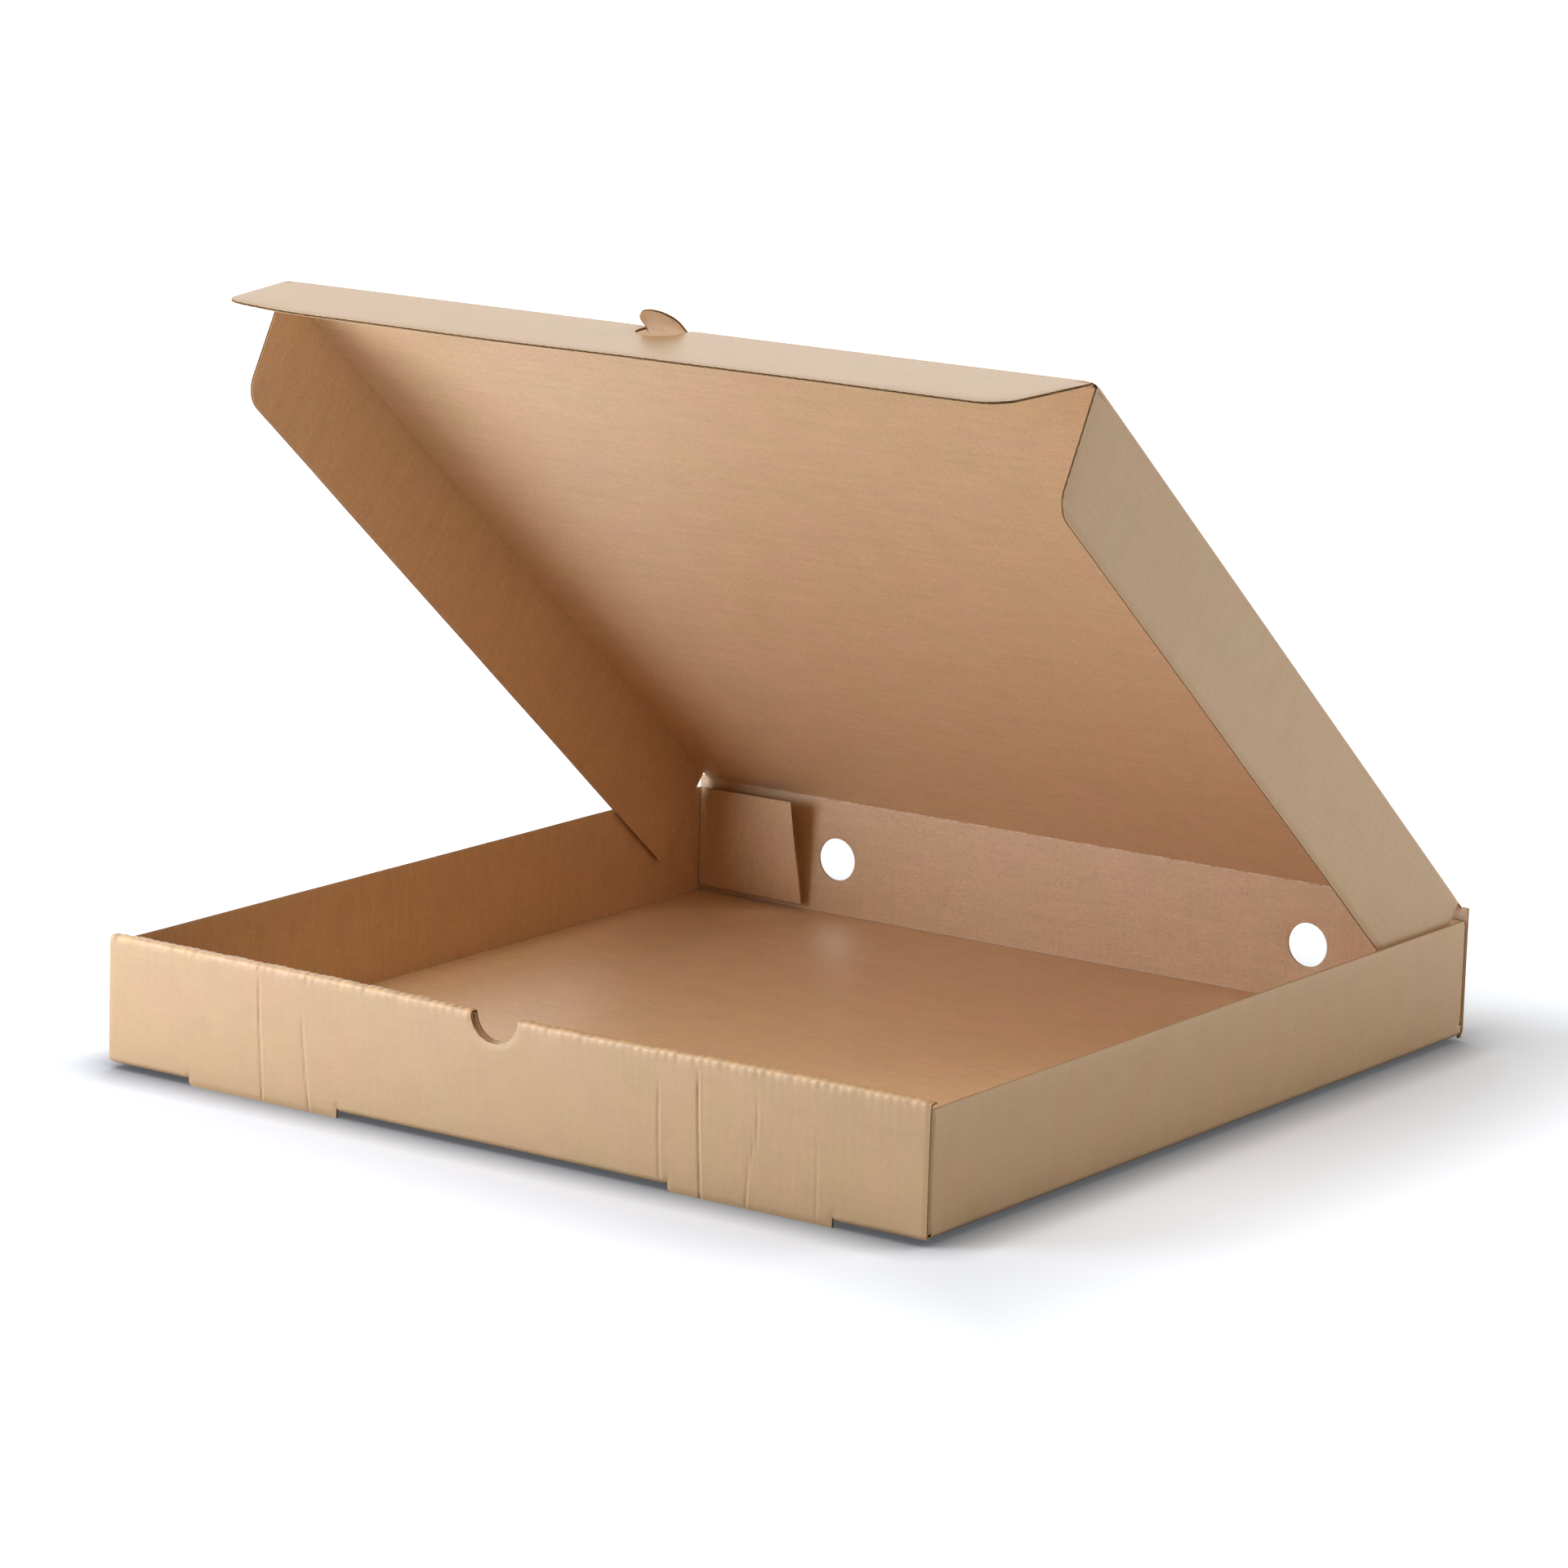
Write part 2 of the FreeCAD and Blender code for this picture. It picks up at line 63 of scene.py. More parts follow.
bl_info = {
    "name": "Corrugated pizza box",
    "version": (1, 0, 0),
    "blender": (4, 5, 0),
    "location": "View3D > Sidebar > Pizza box",
    "description": "Builds a half-open pizza box of corrugated board with its stage",
    "category": "Add Mesh",
}

MM = 0.001


def joint_place(name):
    """Where a joint's axis lies, in millimetres."""
    joint = next(joint for joint in frame["joints"] if joint["name"] == name)
    return Vector(joint["pos_m"]) / MM


HINGE = joint_place("lid_hinge")
FRONT_FOLD = joint_place("front_flap_fold")
LID_RUN = FRONT_FOLD - HINGE
LID_DEPTH = LID_RUN.length
LID_ANGLE = math.atan2(LID_RUN.z, -LID_RUN.y)
TRAY_LOW, TRAY_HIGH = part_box("tray")

# In millimetres: where the back wall's panel ends below the hinge, the shoulders beside it, and
# where the lid's panel ends before its front fold
BACK_TOP = HINGE.z - 0.95
SHOULDER = HINGE.z + 0.3
LID_FRONT = LID_DEPTH - 1.2

# In millimetres: how much the hinge is set in at each end of the lid, and where the lid's side
# flaps and full width begin
HINGE_INSET = 0.8
LID_REAR = 4.0

# How much thinner the die presses the board at a cut edge, and how far in that reaches
PRESSED_SHARE = 0.4
PRESSED_REACH = 1.1

# How much less than half a round end's width its corners' radius is
ARC_SLACK = 0.3


def size_property(name, description, millimetres):
    """A length that a user can set."""
    return bpy.props.FloatProperty(
        name=name, description=description, default=millimetres * MM, unit="LENGTH", precision=5)


def colour_property(name, thing, value):
    """A colour that a user can set, in hex."""
    return bpy.props.StringProperty(name=name, description=f"Colour of {thing}, in hex", default=value)


class BoardSizes(bpy.types.PropertyGroup):
    """Sizes of the corrugated board that the whole box is cut from"""

    thickness: size_property("Board", "Thickness of the board", 1.5)
    liner: size_property("Liner", "Thickness of a paper liner", 0.26)
    medium: size_property("Fluted sheet", "Thickness of the fluted sheet", 0.2)
    pitch: size_property("Flute pitch", "From one flute to the next", 3.4)


class BoxSizes(bpy.types.PropertyGroup):
    """Sizes and angles of the box's panels"""

    width: bpy.props.FloatProperty(
        name="Width", description="Tray across", default=TRAY_HIGH.x - TRAY_LOW.x, unit="LENGTH")
    depth: bpy.props.FloatProperty(
        name="Depth", description="Tray from front to back", default=TRAY_HIGH.y - TRAY_LOW.y, unit="LENGTH")
    lug_drop: size_property("Lug drop", "Slot lugs below the floor", 2)
    side_top: size_property("Side wall top", "Top of a side wall", 43.5)
    front_top: size_property("Front wall top", "Top of the front wall", 46.5)
    notch_depth: size_property("Notch depth", "Finger notch below the top", 10)
    notch_width: size_property("Notch width", "Finger notch across", 19)
    notch_place: size_property("Notch place", "Finger notch off the middle", -3)
    tab_reach: size_property("Tab reach", "Lid tab beyond the front fold", 11.5)
    tab_width: size_property("Tab width", "Lid tab across", 15.8)
    tab_place: size_property("Tab place", "Lid tab off the middle", -1.4)
    front_flap_depth: size_property("Front flap", "Front flap from its fold", 39.5)
    front_flap_bend: bpy.props.FloatProperty(
        name="Front flap bend", description="Front flap down from the lid's plane",
        default=math.radians(44.2), subtype="ANGLE")
    lid_half: size_property("Half lid", "Middle of the lid to the outside of a side flap", 162.8)
    lid_flap_foot: size_property("Side flap", "Lid side flap below the middle of the lid's board", 40.75)
    corner_flap: size_property("Corner flap", "Length of a rear corner flap", 49)
    corner_flap_rise: size_property("Corner flap rise", "Free end of a rear flap above the side wall", 2.7)
    left_lean: bpy.props.FloatVectorProperty(
        name="Left lean", description="Left rear flap off the back wall, at its foot and top", size=2,
        default=(math.radians(2.4), math.radians(11.5)), subtype="EULER")
    right_lean: bpy.props.FloatVectorProperty(
        name="Right lean", description="Right rear flap off the back wall, at its foot and top", size=2,
        default=(math.radians(1.5), math.radians(4)), subtype="EULER")


class KraftColours(bpy.types.PropertyGroup):
    """Colours of the papers in the board, and of the floor under the box"""

    # The two liners' colours differ partly as real papers do and partly as painted light: the inner liner is
    # made lighter and the outer darker, standing in for light the lamps give them
    outside: colour_property("Outside liner", "the outer liner", "#c09b70")
    inside: colour_property("Inside liner", "the inner liner", "#dab48a")
    medium: colour_property("Fluted sheet", "the fluted sheet", "#b48c62")
    cut_edge: colour_property("Cut edge", "a die-cut paper edge", "#c9a67e")
    floor: colour_property("Floor", "the floor", "#f2f4f6")


def linear(hex_colour):
    """The linear colour of an sRGB hex value, with full alpha."""
    channels = [int(hex_colour[i:i + 2], 16) / 255 for i in (1, 3, 5)]
    return [c / 12.92 if c <= 0.04045 else ((c + 0.055) / 1.055) ** 2.4 for c in channels] + [1.0]


# Lines and outlines, in millimetres


class BentLine:
    """A line in one plane with rounded corners, which gives places and normals by its length."""

    def __init__(self, corners, side=1.0):
        points = [Vector(corner[:2]) for corner in corners]
        self.stops = []
        self.rows = []
        place = points[0]
        length = 0.0
        self.mark(length, place, (points[1] - points[0]).normalized(), side)
        for i in range(1, len(points) - 1):
            radius = corners[i][2]
            into = (points[i] - points[i - 1]).normalized()
            out = (points[i + 1] - points[i]).normalized()
            turn = math.atan2(into.x * out.y - into.y * out.x, into.dot(out))
            start = points[i] - into * radius * math.tan(abs(turn) / 2)
            length += (start - place).length
            self.mark(length, start, into, side)
            hand = math.copysign(radius, turn)
            centre = start + Vector((-into.y, into.x)) * hand
            steps = max(3, math.ceil(abs(turn) / math.radians(15)))
            for step in range(1, steps + 1):
                direction = Matrix.Rotation(turn * step / steps, 2) @ into
                place = centre - Vector((-direction.y, direction.x)) * hand
                self.mark(length + radius * abs(turn) * step / steps, place, direction, side)
            length += radius * abs(turn)
        length += (points[-1] - place).length
        self.mark(length, points[-1], (points[-1] - points[-2]).normalized(), side)
        self.rows = np.array(self.rows).T

    def mark(self, length, place, direction, side):
        """Note a place on the line, unless the last one is the same."""
        if self.stops and length - self.stops[-1] < 1e-6:
            return
        self.stops.append(length)
        self.rows.append((place.x, place.y, -side * direction.y, side * direction.x))

    def at(self, length, height):
        """Places at these lengths along the line and heights off it."""
        a, b, normal_a, normal_b = (np.interp(length, self.stops, row) for row in self.rows)
        return a + height * normal_a, b + height * normal_b


def rounded(corners, steps=8):
    """An outline whose corners may have a radius as their third number."""
    ring = []
    for i, corner in enumerate(corners):
        point = Vector(corner[:2])
        if len(corner) < 3:
            ring.append(tuple(point))
            continue
        into = (point - Vector(corners[i - 1][:2])).normalized()
        out = (Vector(corners[(i + 1) % len(corners)][:2]) - point).normalized()
        turn = math.atan2(into.x * out.y - into.y * out.x, into.dot(out))
        start = point - into * corner[2] * math.tan(abs(turn) / 2)
        hand = math.copysign(corner[2], turn)
        centre = start + Vector((-into.y, into.x)) * hand
        for step in range(steps + 1):
            direction = Matrix.Rotation(turn * step / steps, 2) @ into
            ring.append(tuple(centre - Vector((-direction.y, direction.x)) * hand))
    return ring


def circle(x, y, radius, steps=40):
    """A round hole."""
    turns = [2 * math.pi * step / steps for step in range(steps)]
    return [(x + radius * math.cos(turn), y + radius * math.sin(turn)) for turn in turns]


def box_ring(u_low, u_high, v_low, v_high):
    """A rectangular outline."""
    return [(u_low, v_low), (u_high, v_low), (u_high, v_high), (u_low, v_high)]


def even_lines(low, high, step):
    """Evenly spaced lines from low to high, about a step apart."""
    return list(np.linspace(low, high, max(2, round((high - low) / step) + 1)))


def fill(rings, u_lines, v_lines):
    """Points and faces that fill an outline with holes, cut along the given lines."""
    edges = [(ring[i - 1], ring[i]) for ring in rings for i in range(len(ring))]
    corners = [corner for ring in rings for corner in ring]
    corner_us = sorted({round(u, 4) for u, v in corners})
    free = [u for u in u_lines if corner_us[0] < u < corner_us[-1]]
    gaps = np.abs(np.subtract.outer(free, corner_us)).min(1) if free else []
    breaks = sorted(set(corner_us) | {round(u, 4) for u, gap in zip(free, gaps) if gap > 0.04})
    points = []
    index = {}
    faces = []

    def column(u, low, high):
        """The points from low to high on the line at u."""
        own = {round(v, 4) for at, v in corners if abs(at - u) < 1e-3}
        inner = sorted(v for v in own | set(v_lines) if low + 0.03 < v < high - 0.03)
        heights = [low] + inner + ([high] if high - low > 1e-3 else [])
        numbers = []
        for v in heights:
            key = (round(u, 3), round(v, 3))
            if key not in index:
                index[key] = len(points)
                points.append((u, v))
            numbers.append(index[key])
        return heights, numbers

    for left, right in zip(breaks, breaks[1:]):
        middle = (left + right) / 2
        spans = []
        for (u0, v0), (u1, v1) in edges:
            if min(u0, u1) < middle < max(u0, u1):
                slope = (v1 - v0) / (u1 - u0)
                spans.append([v0 + slope * (u - u0) for u in (middle, left, right)])
        spans.sort()
        for below, above in zip(spans[::2], spans[1::2]):
            near_v, near = column(left, below[1], above[1])
            far_v, far = column(right, below[2], above[2])
            i = j = 0
            while i < len(near) - 1 or j < len(far) - 1:
                near_next = near_v[i + 1] if i < len(near) - 1 else math.inf
                far_next = far_v[j + 1] if j < len(far) - 1 else math.inf
                if abs(near_next - far_next) < 1e-3:
                    faces.append((near[i], far[j], far[j + 1], near[i + 1]))
                    i += 1
                    j += 1
                elif near_next < far_next:
                    faces.append((near[i], far[j], near[i + 1]))
                    i += 1
                else:
                    faces.append((near[i], far[j], far[j + 1]))
                    j += 1
    faces = [face for face in faces if len(set(face)) == len(face)]
    return np.array(points), faces


# Boards


def skin(rings, u_lines, v_lines, place, low, high):
    """A closed thin layer of paper between two heights of the board: points, places on the sheet,
    faces, and which faces are cut edges."""
    points, faces = fill(rings, u_lines, v_lines)
    u, v = points.T
    sheets = []
    places = []
    for level in (high, low):
        height = level(u) if callable(level) else np.full(len(u), level)
        sheets.append(np.stack([u, v, height], 1))
        places.append(np.stack(place(u, v, height), 1))
    count = len(points)
    directed = {(face[i - 1], face[i]) for face in faces for i in range(len(face))}
    rims = [(a, b) for a, b in directed if (b, a) not in directed]
    shell = list(faces)
    shell += [tuple(count + number for number in reversed(face)) for face in faces]
    shell += [(b, a, a + count, b + count) for a, b in rims]
    cut = [False] * (2 * len(faces)) + [True] * len(rims)
    return np.concatenate(places), np.concatenate(sheets), shell, cut


def edge_distance(rings, joins, u, v):
    """How far places on the sheet lie from its nearest cut edge. A join is where a fold carries the
    sheet on: which of u and v is fixed there, and at what."""
    nearest = np.full(len(u), 99.0)
    for ring in rings:
        for i, (u1, v1) in enumerate(ring):
            u0, v0 = ring[i - 1]
            if any(abs((u0, v0)[axis] - value) + abs((u1, v1)[axis] - value) < 0.01 for axis, value in joins):
                continue
            run = max((u1 - u0) ** 2 + (v1 - v0) ** 2, 1e-9)
            along = np.clip(((u - u0) * (u1 - u0) + (v - v0) * (v1 - v0)) / run, 0, 1)
            nearest = np.minimum(nearest, np.hypot(u - u0 - along * (u1 - u0), v - v0 - along * (v1 - v0)))
    return nearest


def edge_lines(rings, axis):
    """Lines just inside the straight cut edges, where the die has pressed the board thinner."""
    values = {corner[axis] for ring in rings for i, corner in enumerate(ring)
              if abs(corner[axis] - ring[i - 1][axis]) < 0.01}
    return {value + step for value in values for step in (-2.2, -1.0, 1.0, 2.2)}


def inside_window(ring, window):
    """The part of an outline that lies in a rectangle (u_low, u_high, v_low, v_high)."""
    for number, bound in enumerate(window):
        axis, sign = divmod(number, 2)
        kept = []
        for i, corner in enumerate(ring):
            last = ring[i - 1]
            gap = (bound - corner[axis]) if sign else (corner[axis] - bound)
            last_gap = (bound - last[axis]) if sign else (last[axis] - bound)
            if (gap < 0) != (last_gap < 0):
                share = last_gap / (last_gap - gap)
                kept.append(tuple(a + (b - a) * share for a, b in zip(last, corner)))
            if gap >= 0:
                kept.append(corner)
        ring = kept
    return ring


def make_board(name, rings, place, u_lines=(), v_lines=(), flute_windows=(), joins=(), painted_fold_shading=None):
    """One panel of corrugated board. Its u runs across the flutes and its v along them."""
    board = bpy.context.scene.pizza_board
    half = board.thickness / MM / 2
    liner = board.liner / MM
    medium = board.medium / MM
    pitch = board.pitch / MM
    swing = half - liner - medium / 2

    def wave(offset):
        """The height of one side of the fluted sheet."""
        return lambda u: swing * np.cos(2 * math.pi * u / pitch) + offset

    def pressed(u, v, w):
        """The panel's places, with the board pressed thinner at its cut edges."""
        distance = edge_distance(rings, joins, u, v)
        return place(u, v, w * (1 - PRESSED_SHARE * np.exp(-((distance / PRESSED_REACH) ** 2))))

    u_lines = sorted(set(u_lines) | edge_lines(rings, 0))
    v_lines = sorted(set(v_lines) | edge_lines(rings, 1))
    layers = [(skin(rings, u_lines, v_lines, pressed, half - liner, half), 0),
              (skin(rings, u_lines, v_lines, pressed, -half, -half + liner), 1)]
    for window in flute_windows:
        clipped = [part for part in (inside_window(ring, window) for ring in rings) if part]
        flute_lines = even_lines(window[0], window[1], pitch / 8)
        layers.append((skin(clipped, flute_lines, v_lines, pressed, wave(-medium / 2), wave(medium / 2)), 2))
    places, sheets, faces, materials = [], [], [], []
    start = 0
    for (layer_places, layer_sheets, layer_faces, cut), material in layers:
        places.append(layer_places)
        sheets.append(layer_sheets)
        faces += [tuple(number + start for number in face) for face in layer_faces]
        materials += [3 if is_cut and material < 2 else material for is_cut in cut]
        start += len(layer_places)
    mesh = bpy.data.meshes.new(name)
    mesh.from_pydata((np.concatenate(places) * MM).tolist(), [], faces)
    mesh.attributes.new("sheet", "FLOAT_VECTOR", "POINT").data.foreach_set(
        "vector", (np.concatenate(sheets) * MM).ravel())
    # Painted shade and painted highlight along folds and creases, given per place on the sheet
    if painted_fold_shading:
        mesh.attributes.new("painted_fold_shading", "FLOAT", "POINT").data.foreach_set(
            "value", painted_fold_shading(*np.concatenate(sheets).T))
    for material in board_materials():
        mesh.materials.append(material)
    mesh.polygons.foreach_set("material_index", materials)
    tidy_mesh(mesh)
    obj = bpy.data.objects.new(name, mesh)
    bpy.context.scene.collection.objects.link(obj)
    return obj


def tidy_mesh(mesh):
    """Outward normals, and smooth faces with crisp cut edges."""
    work = bmesh.new()
    work.from_mesh(mesh)
    bmesh.ops.recalc_face_normals(work, faces=work.faces)
    work.to_mesh(mesh)
    work.free()
    mesh.shade_smooth()
    mesh.set_sharp_from_angle(angle=math.radians(38))


def ripple(t, length, seed):
    """A smooth uneven wave between about -1 and 1, whose bumps are about a length apart."""
    total = 0
    for step, share in enumerate((0.45, 0.33, 0.22)):
        stretch = length * (1.9 - 0.55 * step + 0.13 * math.sin(seed + step))
        total = total + share * np.sin(2 * math.pi * t / stretch + seed * (2.3 + step))
    return total


def painted_fold_shade(t, middle):
    """Painted shade along a fold line: darker over about half a millimetre."""
    return -1.1 * np.exp(-(((t - middle) / 0.45) ** 2))


def lid_point(x, along, height):
    """A place on the lid, given by its distance from the hinge and its height off the lid's middle."""
    cosine, sine = math.cos(LID_ANGLE), math.sin(LID_ANGLE)
    return x, HINGE.y - along * cosine + height * sine, HINGE.z + along * sine + height * cosine


def make_fold(name, low, high, line, u_lines, place=None, open_ends=False, painted_fold_shading=None):
    """A strip of board along X that goes round a fold, as its line does. Its flutes show at open ends."""
    end = line.stops[-1]

    def along_line(u, v, w):
        """Straight across along X, bent along the line."""
        y, z = line.at(v, w)
        return u, y, z

    windows = [(low, low + 3, 0.0, end), (high - 3, high, 0.0, end)] if open_ends else ()
    return make_board(name, [box_ring(low, high, 0.0, end)], place or along_line, u_lines, line.stops,
                      windows, joins=[(1, 0.0), (1, end)], painted_fold_shading=painted_fold_shading)


# Materials


def add_node(tree, kind, settings=(), inputs=()):
    """One node with its settings, and with values or links on its inputs."""
    node = tree.nodes.new(kind)
    for name, value in dict(settings).items():
        setattr(node, name, value)
    for socket, value in dict(inputs).items():
        if isinstance(value, bpy.types.NodeSocket):
            tree.links.new(value, node.inputs[socket])
        else:
            node.inputs[socket].default_value = value
    return node


def new_material(name):
    """An empty node material with its shader and output."""
    material = bpy.data.materials.new(name)
    material.use_nodes = True
    tree = material.node_tree
    tree.nodes.clear()
    shader = add_node(tree, "ShaderNodeBsdfPrincipled")
    add_node(tree, "ShaderNodeOutputMaterial", inputs={"Surface": shader.outputs["BSDF"]})
    return material, tree, shader


def kraft_liner(name, colour, fleck, rough):
    """Kraft liner paper, made on a wire and calendered dry: a soft sheen at a slant, clouds of pulp
    and short fibres that lie across the flutes, and painted shade and painted highlight along its folds and
    creases."""
    material, tree, shader = new_material(name)
    sheet = add_node(tree, "ShaderNodeAttribute", {"attribute_name": "sheet"}).outputs["Vector"]
    pitch = bpy.context.scene.pizza_board.pitch
    # Fibre bundles are 2 mm long and 0.05 mm wide; drawn 2.4 mm by 0.5 mm so that they show
    fibre_place = add_node(tree, "ShaderNodeMapping", inputs={
        "Vector": sheet, "Scale": (1 / 0.0024, 1 / 0.0005, 1 / 0.0024)})
    fibres = add_node(tree, "ShaderNodeTexNoise", inputs={
        "Vector": fibre_place.outputs["Vector"], "Scale": 1.0, "Detail": 3.0, "Roughness": 0.6})
    # Streaks of the paper machine, about 30 mm long and 3 mm wide
    streak_place = add_node(tree, "ShaderNodeMapping", inputs={
        "Vector": sheet, "Scale": (1 / 0.030, 1 / 0.003, 1 / 0.01)})
    streaks = add_node(tree, "ShaderNodeTexNoise", inputs={
        "Vector": streak_place.outputs["Vector"], "Scale": 1.0, "Detail": 3.0, "Roughness": 0.5})
    # Clouds where the pulp lies thicker, about 14 mm across
    clouds = add_node(tree, "ShaderNodeTexNoise", inputs={
        "Vector": sheet, "Scale": 1 / 0.014, "Detail": 3.0, "Roughness": 0.55})
    # Specks of recycled fibre, pale and dark, about 0.6 mm across
    specks = add_node(tree, "ShaderNodeTexNoise", inputs={
        "Vector": sheet, "Scale": 1 / 0.0009, "Detail": 2.0, "Roughness": 0.5})
    pale_specks = add_node(tree, "ShaderNodeMapRange", inputs={
        "Value": specks.outputs["Fac"], "From Min": 0.62, "From Max": 0.74, "To Min": 0.0, "To Max": fleck})
    dark_specks = add_node(tree, "ShaderNodeMapRange", inputs={
        "Value": specks.outputs["Fac"], "From Min": 0.38, "From Max": 0.26, "To Min": 0.0, "To Max": -fleck})
    split = add_node(tree, "ShaderNodeSeparateXYZ", inputs={"Vector": sheet})
    turn = add_node(tree, "ShaderNodeMath", {"operation": "MULTIPLY"}, {
        0: split.outputs["X"], 1: 2 * math.pi / pitch})
    flutes = add_node(tree, "ShaderNodeMath", {"operation": "COSINE"}, {0: turn.outputs[0]})
    # Painted shade and painted highlight along folds and creases, kept as a point attribute, darken or
    # lighten the tone
    painted_fold_shading = add_node(tree, "ShaderNodeAttribute", {"attribute_name": "painted_fold_shading"}).outputs["Fac"]
    # Each pattern's share of the tone, where a noise of 0.5 leaves the tone as it is
    shares = ((fibres.outputs["Fac"], 1.6 * fleck), (streaks.outputs["Fac"], 0.8 * fleck),
              (clouds.outputs["Fac"], 0.14), (flutes.outputs[0], 0.006), (painted_fold_shading, 0.45),
              (pale_specks.outputs["Result"], 1.0), (dark_specks.outputs["Result"], 1.0))
    tone = 1.0 - 0.5 * (2.4 * fleck + 0.14)
    for pattern, share in shares:
        tone = add_node(tree, "ShaderNodeMath", {"operation": "MULTIPLY_ADD"}, {
            0: pattern, 1: share, 2: tone}).outputs[0]
    shade = add_node(tree, "ShaderNodeVectorMath", {"operation": "SCALE"}, {
        0: linear(colour)[:3], "Scale": tone})
    # The colour wanders between pinkish and straw-coloured over about 25 mm
    patches = add_node(tree, "ShaderNodeTexNoise", inputs={
        "Vector": sheet, "Scale": 1 / 0.025, "Detail": 2.0, "Roughness": 0.5})
    patch = add_node(tree, "ShaderNodeMapRange", inputs={
        "Value": patches.outputs["Fac"], "From Min": 0.35, "From Max": 0.65})
    tint = add_node(tree, "ShaderNodeMix", {"data_type": "RGBA"}, {
        "Factor": patch.outputs["Result"], 6: (1.015, 0.985, 1.01, 1.0), 7: (0.985, 1.01, 0.95, 1.0)})
    tinted = add_node(tree, "ShaderNodeVectorMath", {"operation": "MULTIPLY"}, {
        0: shade.outputs[0], 1: tint.outputs[2]})
    height = add_node(tree, "ShaderNodeMath", {"operation": "MULTIPLY_ADD"}, {
        0: flutes.outputs[0], 1: 0.3, 2: fibres.outputs["Fac"]})
    bump = add_node(tree, "ShaderNodeBump", inputs={
        "Strength": 0.5, "Distance": 0.00006, "Height": height.outputs[0]})
    shader.inputs["Roughness"].default_value = rough
    shader.inputs["Specular IOR Level"].default_value = 0.5
    shader.inputs["IOR"].default_value = 1.5
    tree.links.new(tinted.outputs[0], shader.inputs["Base Color"])
    tree.links.new(bump.outputs["Normal"], shader.inputs["Normal"])
    return material


def raw_paper(name, colour, grain):
    """Unsized paper as the fluting roll or the die leaves it: rough, darker and uneven."""
    material, tree, shader = new_material(name)
    sheet = add_node(tree, "ShaderNodeAttribute", {"attribute_name": "sheet"}).outputs["Vector"]
    # Torn fibre ends, about as wide as the grain
    noise = add_node(tree, "ShaderNodeTexNoise", inputs={
        "Vector": sheet, "Scale": 1 / grain, "Detail": 3.0, "Roughness": 0.6})
    tone = add_node(tree, "ShaderNodeMapRange", inputs={
        "Value": noise.outputs["Fac"], "From Min": 0.3, "From Max": 0.7, "To Min": 0.75, "To Max": 1.2})
    shade = add_node(tree, "ShaderNodeVectorMath", {"operation": "SCALE"}, {
        0: linear(colour)[:3], "Scale": tone.outputs["Result"]})
    bump = add_node(tree, "ShaderNodeBump", inputs={
        "Strength": 0.5, "Distance": 0.0001, "Height": noise.outputs["Fac"]})
    shader.inputs["Roughness"].default_value = 0.95
    shader.inputs["Specular IOR Level"].default_value = 0.2
    tree.links.new(shade.outputs[0], shader.inputs["Base Color"])
    tree.links.new(bump.outputs["Normal"], shader.inputs["Normal"])
    return material


def board_materials():
    """The four papers of the board, in the order of a panel's material slots."""
    names = ("kraft_liner_outside", "kraft_liner_inside", "fluted_medium", "die_cut_edge")
    return [bpy.data.materials[name] for name in names]


class PIZZA_OT_papers(bpy.types.Operator):
    """Make the papers of the board"""

    bl_idname = "pizza.papers"
    bl_label = "Papers"

    def execute(self, context):
        colours = context.scene.pizza_colours
        # The inner liner's lighter colour is partly painted light, the outer liner's darker colour partly
        # painted shade
        kraft_liner("kraft_liner_outside", colours.outside, 0.08, 0.42)
        kraft_liner("kraft_liner_inside", colours.inside, 0.24, 0.45)
        raw_paper("fluted_medium", colours.medium, 0.0008)
        raw_paper("die_cut_edge", colours.cut_edge, 0.0004)
        return {"FINISHED"}


# The tray


def tray_sizes():
    """The tray's sizes that several panels share, in millimetres."""
    box = bpy.context.scene.pizza_box
    board = bpy.context.scene.pizza_board.thickness / MM
    return SimpleNamespace(
        half_x=box.width / MM / 2,
        half_y=box.depth / MM / 2,
        board=board,
        mid=board / 2,
        floor_mid=box.lug_drop / MM + board / 2,
        fold=0.4 + board / 2,
        side_top=box.side_top / MM,
        front_top=box.front_top / MM,
        side_front=-box.depth / MM / 2 + 2 * board + 0.2,
        side_rear=box.depth / MM / 2 - 2 * board - 0.3,
    )


# In millimetres: where the two slots lie along the front fold, and the vent holes' places, height
# and radius in the back wall
SLOTS = ((-130.0, -67.0), (67.0, 130.0))
VENTS = (-101.5, 101.5)
VENT_HEIGHT = 24.5
VENT_RADIUS = 8.0


